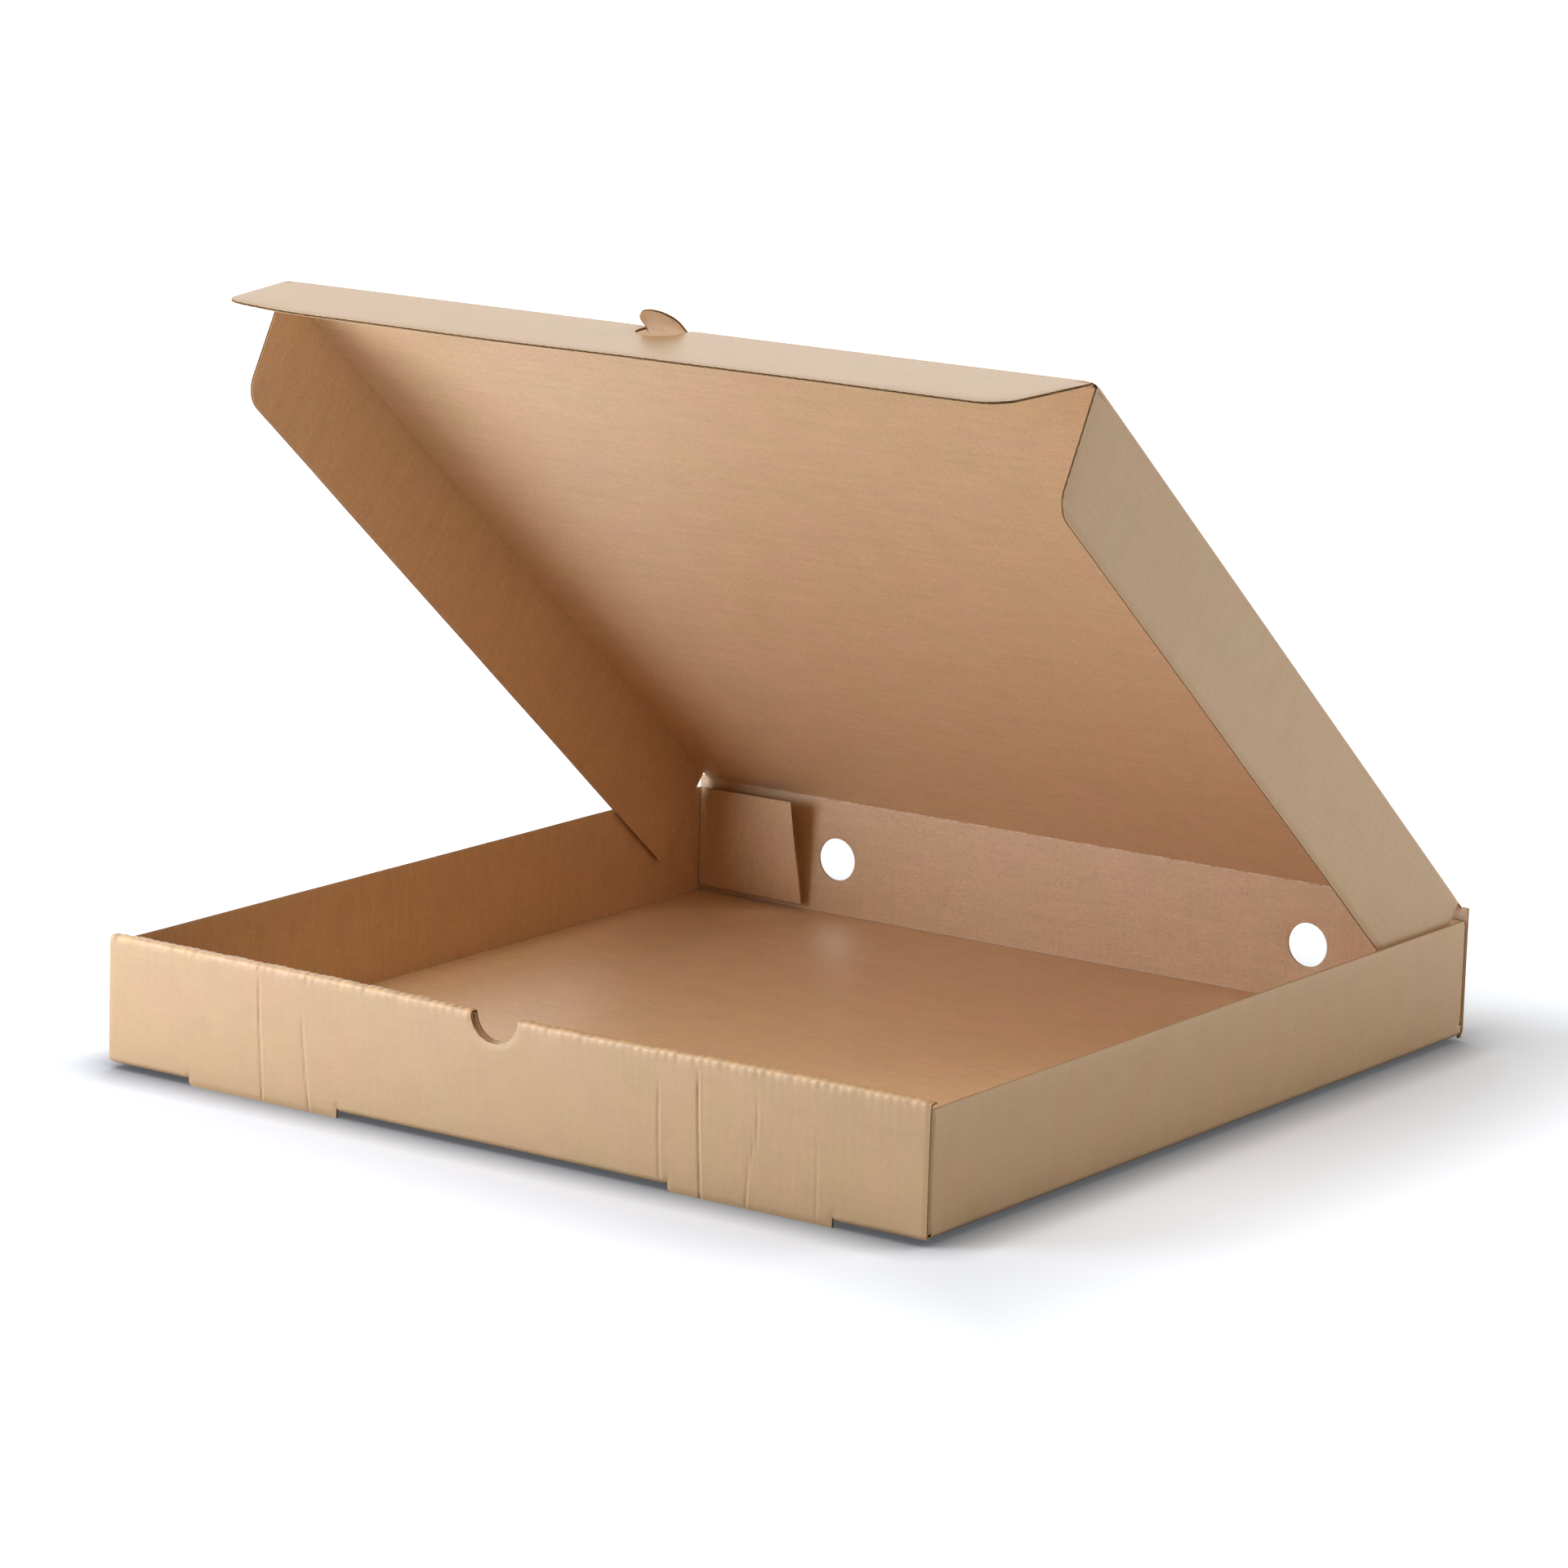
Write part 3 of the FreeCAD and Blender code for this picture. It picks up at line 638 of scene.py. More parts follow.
class PIZZA_OT_floor_and_sides(bpy.types.Operator):
    """Build the floor with its two side walls, as one bent panel"""

    bl_idname = "pizza.floor_and_sides"
    bl_label = "Floor and side walls"

    def execute(self, context):
        size = tray_sizes()
        box = context.scene.pizza_box
        x = size.half_x - size.mid
        z = size.floor_mid
        line = BentLine([(-x, size.side_top), (-x, z, size.fold), (x, z, size.fold), (x, size.side_top)],
                        side=-1.0)
        wall = size.side_top - z - size.fold
        bend = wall + size.fold * math.pi / 2
        end = 2 * bend + 2 * (x - size.fold)
        far_bend = end - bend
        front, rear = size.side_front, size.side_rear
        floor_y = size.half_y - size.mid - size.fold
        slot_y = -size.half_y + size.board + 2.4
        ring = [(0, front), (bend, front), (bend, -floor_y)]
        middle = end / 2
        for near, far in SLOTS:
            ring += [(middle + near, -floor_y), (middle + near, slot_y), (middle + far, slot_y),
                     (middle + far, -floor_y)]
        # Each side wall's last strip reaches the back wall below its corner flap
        foot = size.side_top - box.lug_drop / MM - 4.0
        last = size.half_y - size.board - 0.05
        ring += [(far_bend, -floor_y), (far_bend, front), (end, front), (end, rear), (end - foot, rear),
                 (end - foot, last), (far_bend, last), (far_bend, floor_y), (bend, floor_y), (bend, last),
                 (foot, last), (foot, rear), (0, rear)]

        def place(u, v, w):
            """Along the bent line across the box, with walls that bow a little between their ends."""
            a, b = line.at(u, w)
            rise = np.clip((b - 10) / 34, 0, 1)
            fade = np.clip((166.7 - np.abs(v)) / 25, 0, 1)
            bow = 0.28 * rise * fade * (ripple(v, 90, 1.3) - 0.4)
            return a - np.sign(a) * np.abs(bow), v, b

        near_fold = (wall + bend) / 2
        u_lines = sorted(set(line.stops) | set(even_lines(0, wall, 6)) | set(even_lines(far_bend, end, 6))
                         | set(even_lines(bend, far_bend, 12)))
        # The folds between the floor and the side walls carry painted shade along their middles
        obj = make_board("tray_floor_and_sides", [ring], place, u_lines, even_lines(front, rear, 8),
                         [(0.0, 4.0, front, rear), (end - 4.0, end, front, rear)],
                         joins=[(1, front), (1, rear), (1, -floor_y), (1, floor_y)],
                         painted_fold_shading=lambda u, v, w: painted_fold_shade(u, near_fold) + painted_fold_shade(u, end - near_fold))
        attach(obj, "tray")
        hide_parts("tray")
        return {"FINISHED"}


# Creases across the front wall: places (x, z) from the top down, depth in millimetres
CREASES = (
    (((-100.6, 42), (-100.0, 24), (-98.6, 2)), 0.30),
    (((-82.6, 34), (-81.6, 24), (-80.6, 14), (-78.6, 0)), 0.26),
    (((62.8, 37), (62.6, 24), (63.6, 4)), 0.24),
    (((77.6, 43), (78.2, 24), (79.6, 0)), 0.42),
    (((100.8, 38), (100.8, 22), (98.0, 17), (97.2, 2)), 0.20),
    (((123.6, 26), (123.9, 2)), 0.10),
)


def creases_at(x, z, narrow, wide, lip):
    """The front wall's creases at these places: narrow grooves, each with a lip on its right."""
    total = np.zeros(len(x))
    for route, depth in CREASES:
        xs, zs = np.array(route).T
        off = x - np.interp(z, zs[::-1], xs[::-1])
        shape = np.exp(-((off / narrow) ** 2)) - lip * np.exp(-(((off - 1.1) / wide) ** 2))
        reach = np.clip((zs.max() - z) / 7, 0, 1) * np.clip((z - zs.min() + 3) / 3, 0, 1)
        total = total + depth * shape * reach * (0.75 + 0.25 * np.sin(0.7 * z + xs[0]))
    return total


class PIZZA_OT_front_wall(bpy.types.Operator):
    """Build the roll-over front wall, its fold at the floor and the corner flaps trapped in it"""

    bl_idname = "pizza.front_wall"
    bl_label = "Front wall"

    def execute(self, context):
        size = tray_sizes()
        box = context.scene.pizza_box
        self.roll(size, box)
        self.fold(size)
        self.corner_flaps(size)
        return {"FINISHED"}

    def roll(self, size, box):
        """Outer panel, top and inner panel as one sheet, with slots, lugs, tabs and notch."""
        y = -size.half_y + size.mid
        top = size.front_top - size.mid
        depth = 2 * size.board
        lean = 0.7
        tab_foot = box.lug_drop / MM
        line = BentLine([(y, 0.0), (y, top, 0.65), (y + depth, top, 0.65), (y + depth - lean, tab_foot)])
        total = line.stops[-1]
        panel_foot = total - 1.7
        outer_top = top - 0.65
        inner_top = total - (outer_top - tab_foot)
        half = size.half_x
        inner_half = half - size.board - 0.3
        fold_z = size.floor_mid + size.fold
        ring = [(-half, fold_z)]
        for near, far in SLOTS:
            ring += [(near, fold_z), (near, 0.0, 1.6), (far, 0.0), (far, fold_z)]
        ring += [(half, fold_z), (half, inner_top), (inner_half, inner_top), (inner_half, panel_foot)]
        for near, far in reversed(SLOTS):
            ring += [(far - 1, panel_foot), (far - 1, total), (near + 1, total), (near + 1, panel_foot)]
        ring += [(-inner_half, panel_foot), (-inner_half, inner_top), (-half, inner_top)]
        notch_foot = size.front_top - box.notch_depth / MM
        middle = box.notch_place / MM
        reach = box.notch_width / MM / 2
        far_foot = inner_top + (outer_top - notch_foot)
        crown = (outer_top + inner_top) / 2
        arc = reach - ARC_SLACK
        notch = rounded([(middle - reach, notch_foot, arc), (middle + reach, notch_foot, arc),
                         (middle + reach, far_foot, arc), (middle - reach, far_foot, arc)])
        pitch = bpy.context.scene.pizza_board.pitch / MM

        def place(u, v, w):
            """Along the bent line over the wall, with creases below and a crushed fold at the top."""
            a, b = line.at(v, w)
            side, lift = line.at(v, w + 1.0)
            outer = np.clip((outer_top - v) / 3, 0, 1)
            crush = np.exp(-(((v - outer_top - 0.5) / 1.9) ** 2))
            crush_in = np.exp(-(((v - inner_top + 0.5) / 1.9) ** 2))
            bumps = 0.12 * np.cos(2 * math.pi * u / pitch) + 0.2 * ripple(u, 9, 2.1) - 0.1
            other = 0.12 * np.cos(2 * math.pi * u / pitch + 0.6) + 0.2 * ripple(u, 11, 5.2) - 0.1
            shift = np.minimum(crush * bumps + crush_in * other, 0.1)
            # The top is pressed down a little beside the notch, where hands open the box
            sag = 1.3 * np.exp(-(((u - 25) / 60) ** 2)) * np.clip((b - 18) / 28, 0, 1) ** 2
            return (u, a + (side - a) * shift + creases_at(u, b, 0.5, 0.6, 0.45) * outer,
                    b + (lift - b) * shift - sag)

        def painted_fold_shading(u, v, w):
            """Painted shade in the creases' grooves and painted highlight on their lips, a paler line along
            the top fold, and painted shade in dark crack lines along it.
            """
            face = (w > 0) & (v < outer_top)
            # Painted shade in each crease's groove and painted highlight on its lip
            lines = -3.2 * creases_at(u, v, 0.35, 0.5, 0.5) * face
            pale_top_fold = np.exp(-(((v - outer_top - 0.6) / 1.3) ** 2)) * (0.5 + 0.3 * ripple(u, 7, 3.3))
            # Painted shade in crack lines along the top fold
            crack_shade = np.clip(ripple(u, 5, 4.4) - 0.62, 0, 1) * np.exp(-(((v - outer_top) / 0.6) ** 2))
            return np.clip(lines + (pale_top_fold - 2.4 * crack_shade) * (w > 0), -1, 1)

        u_lines = set(even_lines(-half, half, pitch / 4))
        for route, _ in CREASES:
            xs = [x for x, z in route]
            u_lines |= set(even_lines(min(xs) - 1.4, max(xs) + 2.2, 0.25))
        v_lines = sorted(set(line.stops) | set(even_lines(0, outer_top - 2.5, 5))
                         | {outer_top - down for down in (2.4, 1.6, 0.8)} | {crown - 0.7, crown, crown + 0.7}
                         | set(even_lines(inner_top + 3, total, 9)))
        obj = make_board("tray_front_wall", [rounded(ring), notch], place, sorted(u_lines), v_lines,
                         [(-half, half, 0.0, 6.0), (-half, -half + 4, 6.0, outer_top),
                          (half - 4, half, 6.0, outer_top), (middle - 14, middle + 14, 30.0, outer_top),
                          (middle - 14, middle + 14, inner_top, inner_top + 14),
                          (-half, half, total - 6.0, total)],
                         joins=[(1, fold_z)], painted_fold_shading=painted_fold_shading)
        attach(obj, "tray")

    def fold(self, size):
        """The bend from the floor up into the outer front panel, between the slots."""
        y = -size.half_y + size.mid
        z = size.floor_mid
        line = BentLine([(y + size.fold, z), (y, z, size.fold), (y, z + size.fold)])
        stops = [-size.half_x, *SLOTS[0], *SLOTS[1], size.half_x]
        for number, (near, far) in enumerate(zip(stops[::2], stops[1::2]), start=1):
            obj = make_fold(f"tray_front_fold_{number}", near, far, line, even_lines(near, far, 12),
                            open_ends=True)
            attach(obj, "tray")

    def corner_flaps(self, size):
        """The corner flap that turns in from each side wall, pressed flat in the front wall."""
        x = size.half_x - size.mid
        y = size.side_front - size.mid
        reach = 32.0
        line = BentLine([(x, y + size.mid), (x, y, size.mid), (x - size.mid - reach, y)])
        low = size.floor_mid + size.fold
        bend = size.mid * math.pi / 2
        crown = size.front_top - size.board - 0.35
        for name, sign in (("left", -1.0), ("right", 1.0)):
            def place(u, v, w):
                """Pressed thinner towards the floor, where the front wall's panels close up."""
                squeeze = 0.4 + 0.44 * np.clip((u - 3.5) / 40, 0, 1)
                share = np.clip((v - bend) / 2, 0, 1)
                thin = size.mid - (size.mid - w) * squeeze
                a, b = line.at(v, w + (thin - w) * share)
                return sign * a, b, u
            ring = [(low, 0.0), (size.side_top, 0.0), (crown, 3.4), (crown, line.stops[-1]),
                    (low, line.stops[-1])]
            obj = make_board(f"tray_front_{name}_corner_flap", [ring], place, even_lines(low, crown, 8),
                             line.stops, [(size.side_top - 4, crown, 0.0, line.stops[-1])],
                             joins=[(1, 0.0)])
            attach(obj, "tray")


class PIZZA_OT_back_wall(bpy.types.Operator):
    """Build the back wall with its vent holes, and its fold at the floor"""

    bl_idname = "pizza.back_wall"
    bl_label = "Back wall"

    def execute(self, context):
        size = tray_sizes()
        y = size.half_y - size.mid
        z = size.floor_mid
        half = size.half_x
        low = z + size.fold
        neck = context.scene.pizza_box.lid_half / MM - HINGE_INSET
        edge = half - size.mid - size.fold
        ring = [(-half, low), (-half + 0.9, 1.0), (-edge, 1.0), (-edge, low), (edge, low), (edge, 1.0),
                (half - 0.9, 1.0), (half, low), (half, SHOULDER), (neck, SHOULDER),
                (neck, BACK_TOP), (-neck, BACK_TOP), (-neck, SHOULDER), (-half, SHOULDER)]
        holes = [circle(x, VENT_HEIGHT, VENT_RADIUS) for x in VENTS]
        around = VENT_RADIUS + 2.5

        def place(u, v, w):
            """Upright, with a slight bow between its folds."""
            fade = np.sin(math.pi * np.clip((v - low) / (BACK_TOP - low), 0, 1))
            return u, y + w - 0.25 * fade * (1 + ripple(u, 120, 0.4)) / 2, v

        wall = make_board("tray_back_wall", [ring, *holes], place, even_lines(-half, half, 8),
                          even_lines(low, BACK_TOP, 6),
                          [(-half, -half + 5, low, SHOULDER), (half - 5, half, low, SHOULDER),
                           *[(x - around, x + around, VENT_HEIGHT - around, VENT_HEIGHT + around)
                             for x in VENTS]],
                          joins=[(1, low), (1, BACK_TOP)])
        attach(wall, "tray")
        line = BentLine([(y - size.fold, z), (y, z, size.fold), (y, low)], side=-1.0)
        # The fold between the floor and the back wall carries painted shade along its middle
        fold = make_fold("tray_rear_fold", -edge, edge, line, even_lines(-edge, edge, 12),
                         painted_fold_shading=lambda u, v, w: painted_fold_shade(v, line.stops[-1] / 2))
        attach(fold, "tray")
        return {"FINISHED"}


class PIZZA_OT_rear_corner_flaps(bpy.types.Operator):
    """Build the loose rear corner flaps with their folds at the side walls"""

    bl_idname = "pizza.rear_corner_flaps"
    bl_label = "Rear corner flaps"

    def execute(self, context):
        size = tray_sizes()
        box = context.scene.pizza_box
        length = box.corner_flap / MM
        low = box.lug_drop / MM + 4.0
        high = size.side_top
        peak = high + box.corner_flap_rise / MM
        fold_x = size.half_x - size.board
        fold_y = size.side_rear
        for name, sign, leans in (("left", -1.0, box.left_lean), ("right", 1.0, box.right_lean)):
            def flap_place(u, v, w):
                """Straight from the fold to the free edge at each height, leaning more at the top."""
                share = (u - low) / (peak - low)
                across = size.mid + w
                ends = []
                for lean in leans:
                    inward = v * math.cos(lean) + across * math.sin(lean)
                    back = across * math.cos(lean) - v * math.sin(lean)
                    ends.append((inward, back))
                inward = ends[0][0] * (1 - share) + ends[1][0] * share
                back = ends[0][1] * (1 - share) + ends[1][1] * share
                curl = 0.9 * (v / length) ** 2 * np.sin(math.pi * np.clip(share, 0, 1))
                return sign * (fold_x - inward), fold_y + back - curl * 0.4, u

            def fold_place(u, v, w):
                """Round the inner corner of the side wall, from the wall to the flap."""
                share = (u - low) / (peak - low)
                lean = leans[0] * (1 - share) + leans[1] * share
                turn = v * (math.pi / 2 + lean)
                radius = size.mid + w
                return sign * (fold_x + radius * np.cos(turn)), fold_y + radius * np.sin(turn), u

            ring = [(low, 0.3), (high, 0.3), (peak, length), (low, length)]
            flap = make_board(f"rear_{name}_corner_flap_board", [ring], flap_place,
                              even_lines(low, peak, 4), even_lines(0.3, length, 5),
                              [(low, high - 1, length - 8, length), (high - 6, peak, 0.3, length)],
                              joins=[(1, 0.3)])
            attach(flap, f"rear_{name}_flap")
            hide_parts(f"rear_{name}_corner_flap")
            fold = make_board(f"rear_{name}_corner_fold", [box_ring(low, high, 0.0, 1.0)], fold_place,
                              even_lines(low, high, 4), even_lines(0.0, 1.0, 0.15),
                              [(low, low + 3, 0.0, 1.0), (high - 3, high, 0.0, 1.0)],
                              joins=[(1, 0.0), (1, 1.0)])
            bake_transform(fold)
        return {"FINISHED"}


# The lid


def flap_direction():
    """The way that the front flap runs from its fold, in the YZ plane."""
    slope = LID_ANGLE - bpy.context.scene.pizza_box.front_flap_bend
    return Vector((-math.cos(slope), math.sin(slope)))


class PIZZA_OT_lid(bpy.types.Operator):
    """Build the lid panel with its finger tab, and the hinge fold on the back wall"""

    bl_idname = "pizza.lid"
    bl_label = "Lid"

    def execute(self, context):
        box = context.scene.pizza_box
        mid = context.scene.pizza_board.thickness / MM / 2
        outer = box.lid_half / MM
        neck = outer - HINGE_INSET
        edge = outer - 2 * mid
        start = 1.5
        front = LID_FRONT
        middle = box.tab_place / MM
        reach = box.tab_width / MM / 2
        tip = LID_DEPTH + box.tab_reach / MM
        arc = reach - ARC_SLACK
        ring = rounded([(-neck, start), (neck, start), (neck, LID_REAR), (edge, LID_REAR),
                        (edge, front), (middle + reach, front), (middle + reach, tip, arc),
                        (middle - reach, tip, arc), (middle - reach, front), (-edge, front),
                        (-edge, LID_REAR), (-neck, LID_REAR)])

        def place(u, v, w):
            """Nearly flat, with a slight bow that ends at the folds."""
            across = np.cos(math.pi * np.clip(u / (2 * edge), -0.5, 0.5))
            along = np.sin(math.pi * np.clip(v / front, 0, 1))
            bow = 0.7 * across * along + 0.18 * across * along * ripple(v + 0.3 * u, 70, 0.8)
            return lid_point(u, v, w + bow)

        panel = make_board("lid_panel", [ring], place, even_lines(-edge, edge, 9),
                           even_lines(LID_REAR, front, 9), [(middle - 14, middle + 14, front - 4, tip)],
                           joins=[(1, start), (1, front), (0, -edge), (0, edge)])
        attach(panel, "lid")
        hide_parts("lid")
        _, y, z = lid_point(0.0, start, 0.0)
        line = BentLine([(HINGE.y, BACK_TOP), (HINGE.y, HINGE.z, mid), (y, z)], side=-1.0)
        pitch = context.scene.pizza_board.pitch / MM

        def fold_place(u, v, w):
            """Round the hinge, with the inner liner puckered by the flutes."""
            share = np.sin(math.pi * np.clip(v / line.stops[-1], 0, 1))
            pucker = 0.16 * share * (np.cos(2 * math.pi * u / pitch) + ripple(u, 8, 3.4))
            y, z = line.at(v, w - pucker * np.clip(-w, 0, 1))
            return u, y, z

        fold = make_fold("lid_hinge_fold", -neck, neck, line, even_lines(-outer, outer, pitch / 4),
                         fold_place)
        _, y, z = lid_point(0.0, 1.3, 0.0)
        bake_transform(fold)
        return {"FINISHED"}


class PIZZA_OT_lid_side_flaps(bpy.types.Operator):
    """Build the lid's side flaps with the folds that join them to the lid"""

    bl_idname = "pizza.lid_side_flaps"
    bl_label = "Lid side flaps"

    def execute(self, context):
        box = context.scene.pizza_box
        mid = context.scene.pizza_board.thickness / MM / 2
        x = box.lid_half / MM - mid
        foot = box.lid_flap_foot / MM
        top = 1.35
        front = LID_FRONT
        rear = LID_REAR
        line = BentLine([(x - mid, 0.0), (x, 0.0, mid), (x, -top)])
        for name, sign in (("left", -1.0), ("right", 1.0)):
            def flap_place(u, v, w):
                """Square to the lid, with a free edge that wavers a little inward."""
                sway = -0.35 * np.clip((u - top) / foot, 0, 1) ** 2 * (1 + ripple(v, 75, 2.0 + sign)) / 2
                return lid_point(sign * (x + w + sway), v, -u)

            def fold_place(u, v, w):
                """Round the edge of the lid, from its top down to the flap."""
                across, height = line.at(u, w)
                return lid_point(sign * across, v, height)

            ring = rounded([(top, rear), (foot, rear, 3.0), (foot, front - 8.0, 9.0), (top, front - 0.06)])
            flap = make_board(f"lid_{name}_flap_board", [ring], flap_place, even_lines(top, foot, 5),
                              even_lines(rear, front, 8),
                              [(top, foot, rear, rear + 6), (top, foot, front - 12, front),
                               (foot - 4, foot, rear + 6, front - 12)],
                              joins=[(0, top)])
            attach(flap, f"{name}_flap")
            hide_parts(f"lid_{name}_flap")
            fold = make_board(f"lid_{name}_fold", [box_ring(0.0, line.stops[-1], rear, front - 0.06)],
                              fold_place, line.stops, even_lines(rear, front, 12),
                              joins=[(0, 0.0), (0, line.stops[-1])])
            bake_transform(fold)
        return {"FINISHED"}


class PIZZA_OT_front_flap(bpy.types.Operator):
    """Build the lid's front flap with its tab cut-out, and its fold at the lid's front"""

    bl_idname = "pizza.front_flap"
    bl_label = "Front flap"

    def execute(self, context):
        box = context.scene.pizza_box
        mid = context.scene.pizza_board.thickness / MM / 2
        half = box.lid_half / MM - 2 * mid - 0.3
        depth = box.front_flap_depth / MM
        start = 1.5
        direction = flap_direction()
        middle = box.tab_place / MM
        reach = box.tab_width / MM / 2 + 0.4
        cut = box.tab_reach / MM + 0.4
        arc = reach - ARC_SLACK
        ring = rounded([(-half, start), (middle - reach, start), (middle - reach, cut, arc),
                        (middle + reach, cut, arc), (middle + reach, start), (half, start),
                        (half - 8.5, depth, 12.0), (-half + 6.0, depth, 8.0)])

        def place(u, v, w):
            """Nearly flat, with a free edge that droops a little, and one corner that curls up."""
            reach_out = np.clip(v / depth, 0, 1) ** 2
            sway = -0.45 * reach_out * (1 + ripple(u, 110, 1.1)) / 2
            curl = 1.7 * reach_out * np.clip((-u - 115) / 40, 0, 1) ** 2
            height = w + sway + curl
            return (u, FRONT_FOLD.y + v * direction.x - height * direction.y,
                    FRONT_FOLD.z + v * direction.y - height * direction.x)

        flap = make_board("lid_front_flap_board", [ring], place, even_lines(-half, half, 6),
                          even_lines(start, depth, 5),
                          [(-half, half, depth - 14, depth), (-half, -half + 8, start, depth - 14),
                           (half - 8, half, start, depth - 14), (middle - 16, middle + 16, start, 20.0)],
                          joins=[(1, start)])
        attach(flap, "front_flap")
        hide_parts("lid_front_flap")
        corner = Vector((FRONT_FOLD.y, FRONT_FOLD.z))
        line = BentLine([lid_point(0.0, LID_FRONT, 0.0)[1:], (*corner, mid), corner + direction * start],
                        side=-1.0)
        for name, low, high in (("left", -half, middle - reach), ("right", middle + reach, half)):
            fold = make_fold(f"lid_front_fold_{name}", low, high, line, even_lines(low, high, 6),
                             open_ends=True)
            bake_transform(fold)
        return {"FINISHED"}


# The stage


def soft_lamp(name, place, width, power, colour="#ffffff"):
    """A square soft box that faces the middle of the box."""
    lamp = bpy.data.lights.new(name, "AREA")
    lamp.size = width
    lamp.energy = power
    lamp.color = linear(colour)[:3]
    obj = bpy.data.objects.new(name, lamp)
    obj.location = place
    obj.rotation_mode = "QUATERNION"
    obj.rotation_quaternion = (Vector((0, 0, 0.1)) - Vector(place)).to_track_quat("-Z", "Y")
    bpy.context.scene.collection.objects.link(obj)


def seen_not_lit(tree):
    """One where the camera, a reflection or a view through glass looks, and nought for light."""
    path = add_node(tree, "ShaderNodeLightPath").outputs
    seen = path["Is Camera Ray"]
    for ray in ("Is Glossy Ray", "Is Transmission Ray"):
        seen = add_node(tree, "ShaderNodeMath", {"operation": "MAXIMUM"}, {0: seen, 1: path[ray]}).outputs[0]
    return seen


def make_floor(colour):
    """A pale seamless floor, which shows white and keeps the shadow of the box, with painted shadow next to
    the box.
    """
    mesh = bpy.data.meshes.new("floor")
    mesh.from_pydata([(-15, -15, 0), (15, -15, 0), (15, 15, 0), (-15, 15, 0)], [], [(0, 1, 2, 3)])
    floor = bpy.data.objects.new("floor", mesh)
    bpy.context.scene.collection.objects.link(floor)
    material, tree, shader = new_material("matt_white_backdrop_paper")
    shader.inputs["Roughness"].default_value = 0.9
    # Painted shadow: next to the box the floor's colour is darkened by how little of the room it sees
    gap = add_node(tree, "ShaderNodeAmbientOcclusion", inputs={"Distance": 0.02})
    depth = add_node(tree, "ShaderNodeMath", {"operation": "POWER"}, {0: gap.outputs["AO"], 1: 2.0})
    shade = add_node(tree, "ShaderNodeVectorMath", {"operation": "SCALE"}, {
        0: linear(colour)[:3], "Scale": depth.outputs[0]})
    tree.links.new(shade.outputs[0], shader.inputs["Base Color"])
    seen = seen_not_lit(tree)
    # The floor away from the box, which the lamps leave dim, is white like the rest
    place = add_node(tree, "ShaderNodeNewGeometry").outputs["Position"]
    sides = add_node(tree, "ShaderNodeVectorMath", {"operation": "ABSOLUTE"}, {0: place})
    split = add_node(tree, "ShaderNodeSeparateXYZ", inputs={"Vector": sides.outputs[0]})
    away = add_node(tree, "ShaderNodeMath", {"operation": "MAXIMUM"}, {
        0: split.outputs["X"], 1: split.outputs["Y"]})
    white = add_node(tree, "ShaderNodeMapRange", {"interpolation_type": "SMOOTHSTEP"}, {
        "Value": away.outputs[0], "From Min": 0.165, "From Max": 0.4, "To Min": 0.1, "To Max": 1.1})
    lift = add_node(tree, "ShaderNodeMath", {"operation": "MULTIPLY"}, {
        0: seen, 1: white.outputs["Result"]})
    shader.inputs["Emission Color"].default_value = linear("#f4f8ff")
    tree.links.new(lift.outputs[0], shader.inputs["Emission Strength"])
    mesh.materials.append(material)


def make_world():
    """A white surround, which the camera and reflections see and which lights nothing."""
    world = bpy.data.worlds.new("studio")
    bpy.context.scene.world = world
    world.use_nodes = True
    tree = world.node_tree
    tree.nodes.clear()
    seen = seen_not_lit(tree)
    light = add_node(tree, "ShaderNodeBackground", inputs={
        "Color": (1.0, 1.0, 1.0, 1.0), "Strength": seen})
    add_node(tree, "ShaderNodeOutputWorld", inputs={"Surface": light.outputs[0]})


def make_camera():
    """The camera at the photo's place, found by fitting it to the box's corners."""
    camera = bpy.data.cameras.new("camera")
    camera.sensor_width = 36.0
    camera.lens = 141.26
    camera.clip_start = 0.05
    camera.clip_end = 60.0
    yaw, pitch, roll = math.radians(-34.62), math.radians(12.0), math.radians(1.71)
    look = Vector((math.sin(yaw) * math.cos(pitch), math.cos(yaw) * math.cos(pitch), -math.sin(pitch)))
    right = look.cross(Vector((0, 0, 1))).normalized()
    up = right.cross(look)
    turned_right = right * math.cos(roll) + up * math.sin(roll)
    turned_up = up * math.cos(roll) - right * math.sin(roll)
    obj = bpy.data.objects.new("camera", camera)
    obj.matrix_world = Matrix((
        (turned_right.x, turned_up.x, -look.x, 1.15666),
        (turned_right.y, turned_up.y, -look.y, -1.69001),
        (turned_right.z, turned_up.z, -look.z, 0.5299),
        (0, 0, 0, 1)))
    bpy.context.scene.collection.objects.link(obj)
    bpy.context.scene.camera = obj


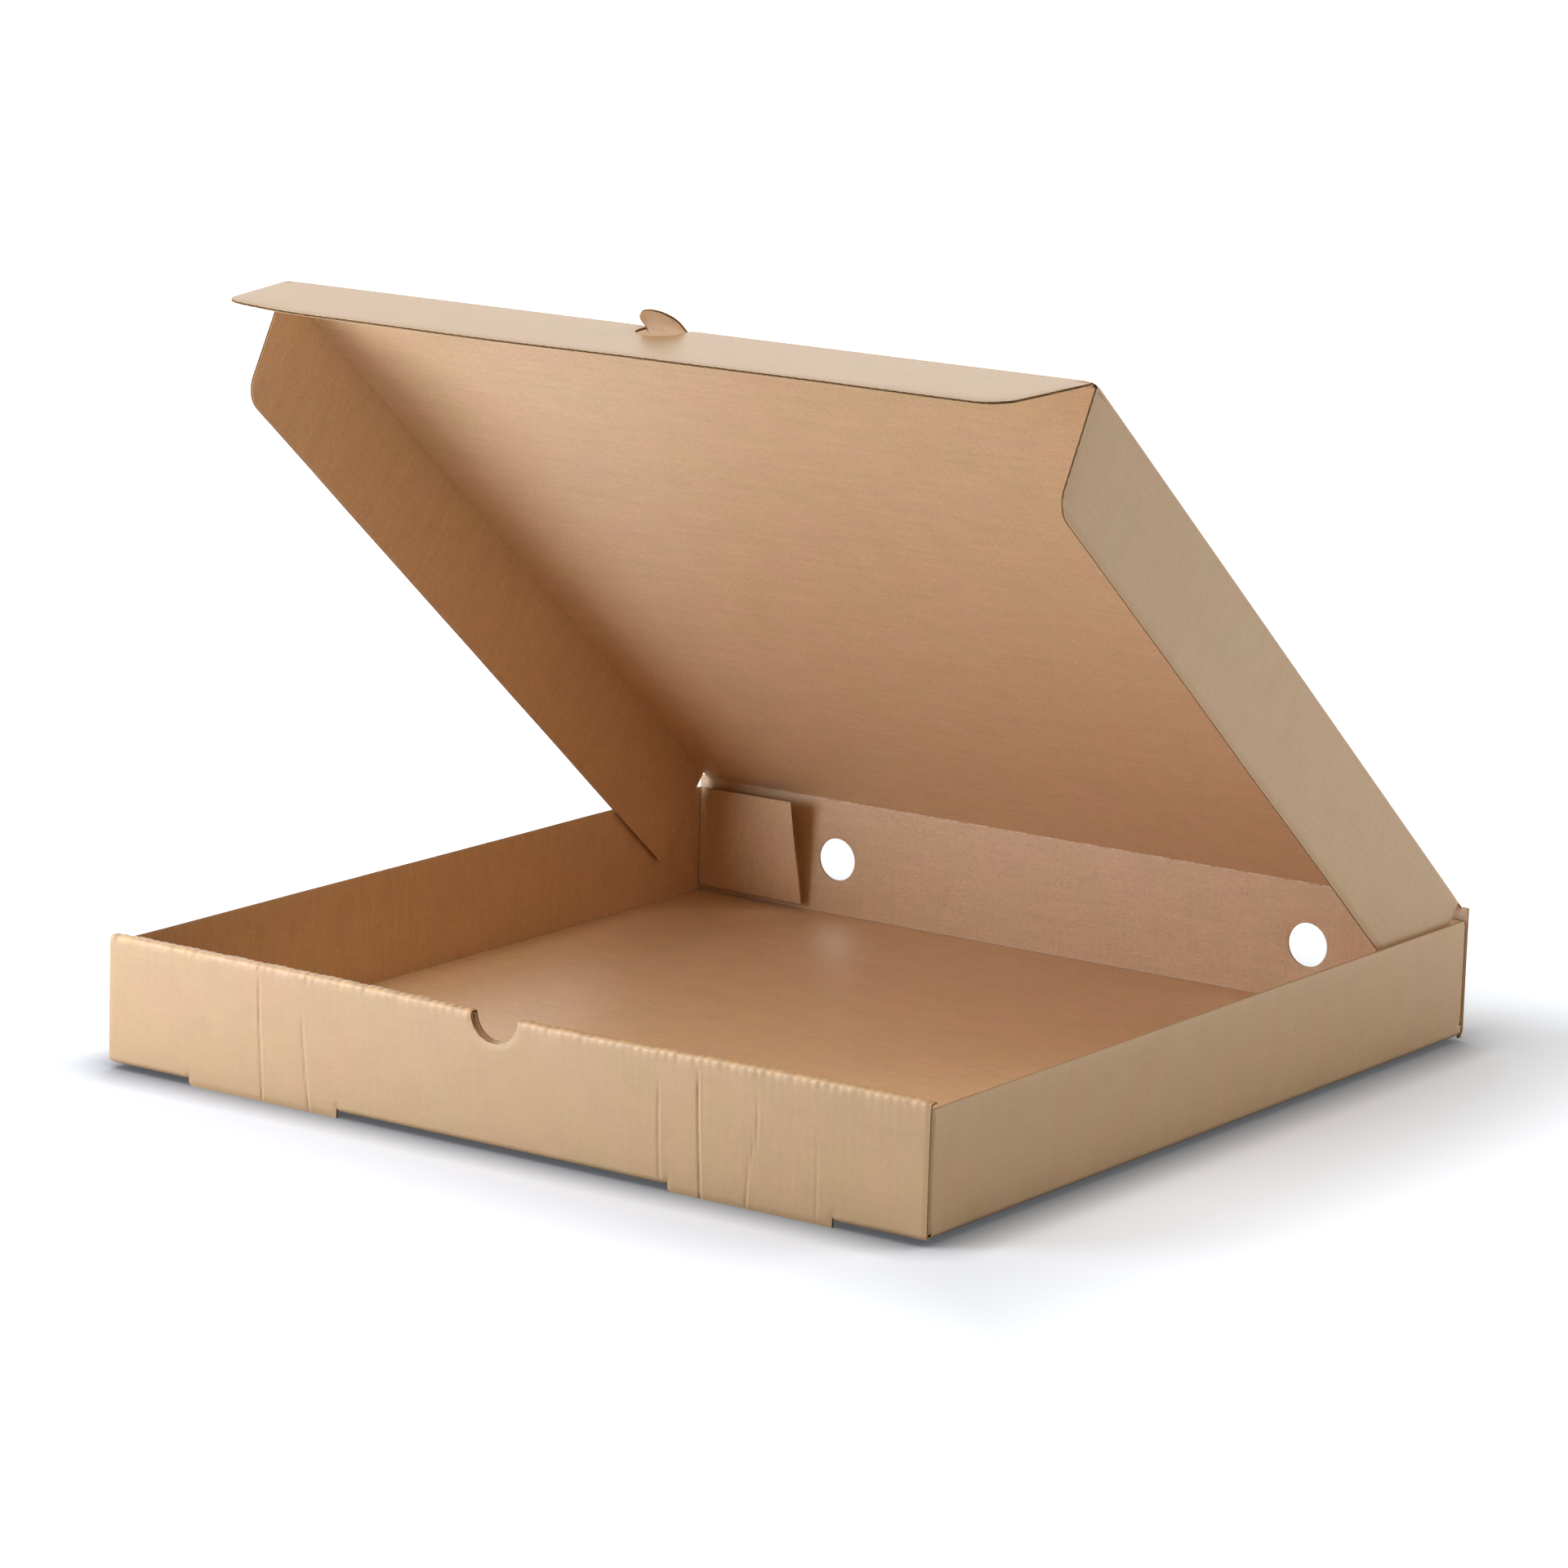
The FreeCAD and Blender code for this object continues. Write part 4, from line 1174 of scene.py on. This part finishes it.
class PIZZA_OT_stage(bpy.types.Operator):
    """Build the floor, the light and the camera"""

    bl_idname = "pizza.stage"
    bl_label = "Stage"

    def execute(self, context):
        context.scene.view_settings.view_transform = "Standard"
        make_floor(context.scene.pizza_colours.floor)
        make_world()
        # Daylight from a window at the front left is cooler than the other lamps
        soft_lamp("window", (-0.45, -0.62, 0.22), 0.4, 4.8, "#dfeaff")
        soft_lamp("overhead", (-0.2, -0.9, 1.5), 1.0, 14.4)
        soft_lamp("back_left", (-1.0, 1.6, 1.4), 1.8, 12.0)
        soft_lamp("right", (1.4, 1.2, 1.0), 1.2, 19.5)
        make_camera()
        return {"FINISHED"}


class PIZZA_PT_panel(bpy.types.Panel):
    """The box's sizes, colours and pieces"""

    bl_idname = "PIZZA_PT_panel"
    bl_label = "Pizza box"
    bl_space_type = "VIEW_3D"
    bl_region_type = "UI"
    bl_category = "Pizza box"

    def draw(self, context):
        for group in (context.scene.pizza_board, context.scene.pizza_box, context.scene.pizza_colours):
            column = self.layout.column(align=True)
            for name in group.__annotations__:
                column.prop(group, name)
        for operator in OPERATORS:
            self.layout.operator(operator.bl_idname)


OPERATORS = (
    PIZZA_OT_papers,
    PIZZA_OT_floor_and_sides,
    PIZZA_OT_front_wall,
    PIZZA_OT_back_wall,
    PIZZA_OT_rear_corner_flaps,
    PIZZA_OT_lid,
    PIZZA_OT_lid_side_flaps,
    PIZZA_OT_front_flap,
    PIZZA_OT_stage,
)
CLASSES = (BoardSizes, BoxSizes, KraftColours, *OPERATORS, PIZZA_PT_panel)


def register():
    """Register the classes and hang the sizes and colours on the scene."""
    for item in CLASSES:
        bpy.utils.register_class(item)
    bpy.types.Scene.pizza_board = bpy.props.PointerProperty(type=BoardSizes)
    bpy.types.Scene.pizza_box = bpy.props.PointerProperty(type=BoxSizes)
    bpy.types.Scene.pizza_colours = bpy.props.PointerProperty(type=KraftColours)


def unregister():
    """Take the sizes, colours and classes away again."""
    del bpy.types.Scene.pizza_colours
    del bpy.types.Scene.pizza_box
    del bpy.types.Scene.pizza_board
    for item in reversed(CLASSES):
        bpy.utils.unregister_class(item)


def main():
    """Build the whole scene."""
    register()
    bpy.ops.pizza.papers()
    bpy.ops.pizza.floor_and_sides()
    bpy.ops.pizza.front_wall()
    bpy.ops.pizza.back_wall()
    bpy.ops.pizza.rear_corner_flaps()
    bpy.ops.pizza.lid()
    bpy.ops.pizza.lid_side_flaps()
    bpy.ops.pizza.front_flap()
    bpy.ops.pizza.stage()


if __name__ == "__main__":
    main()
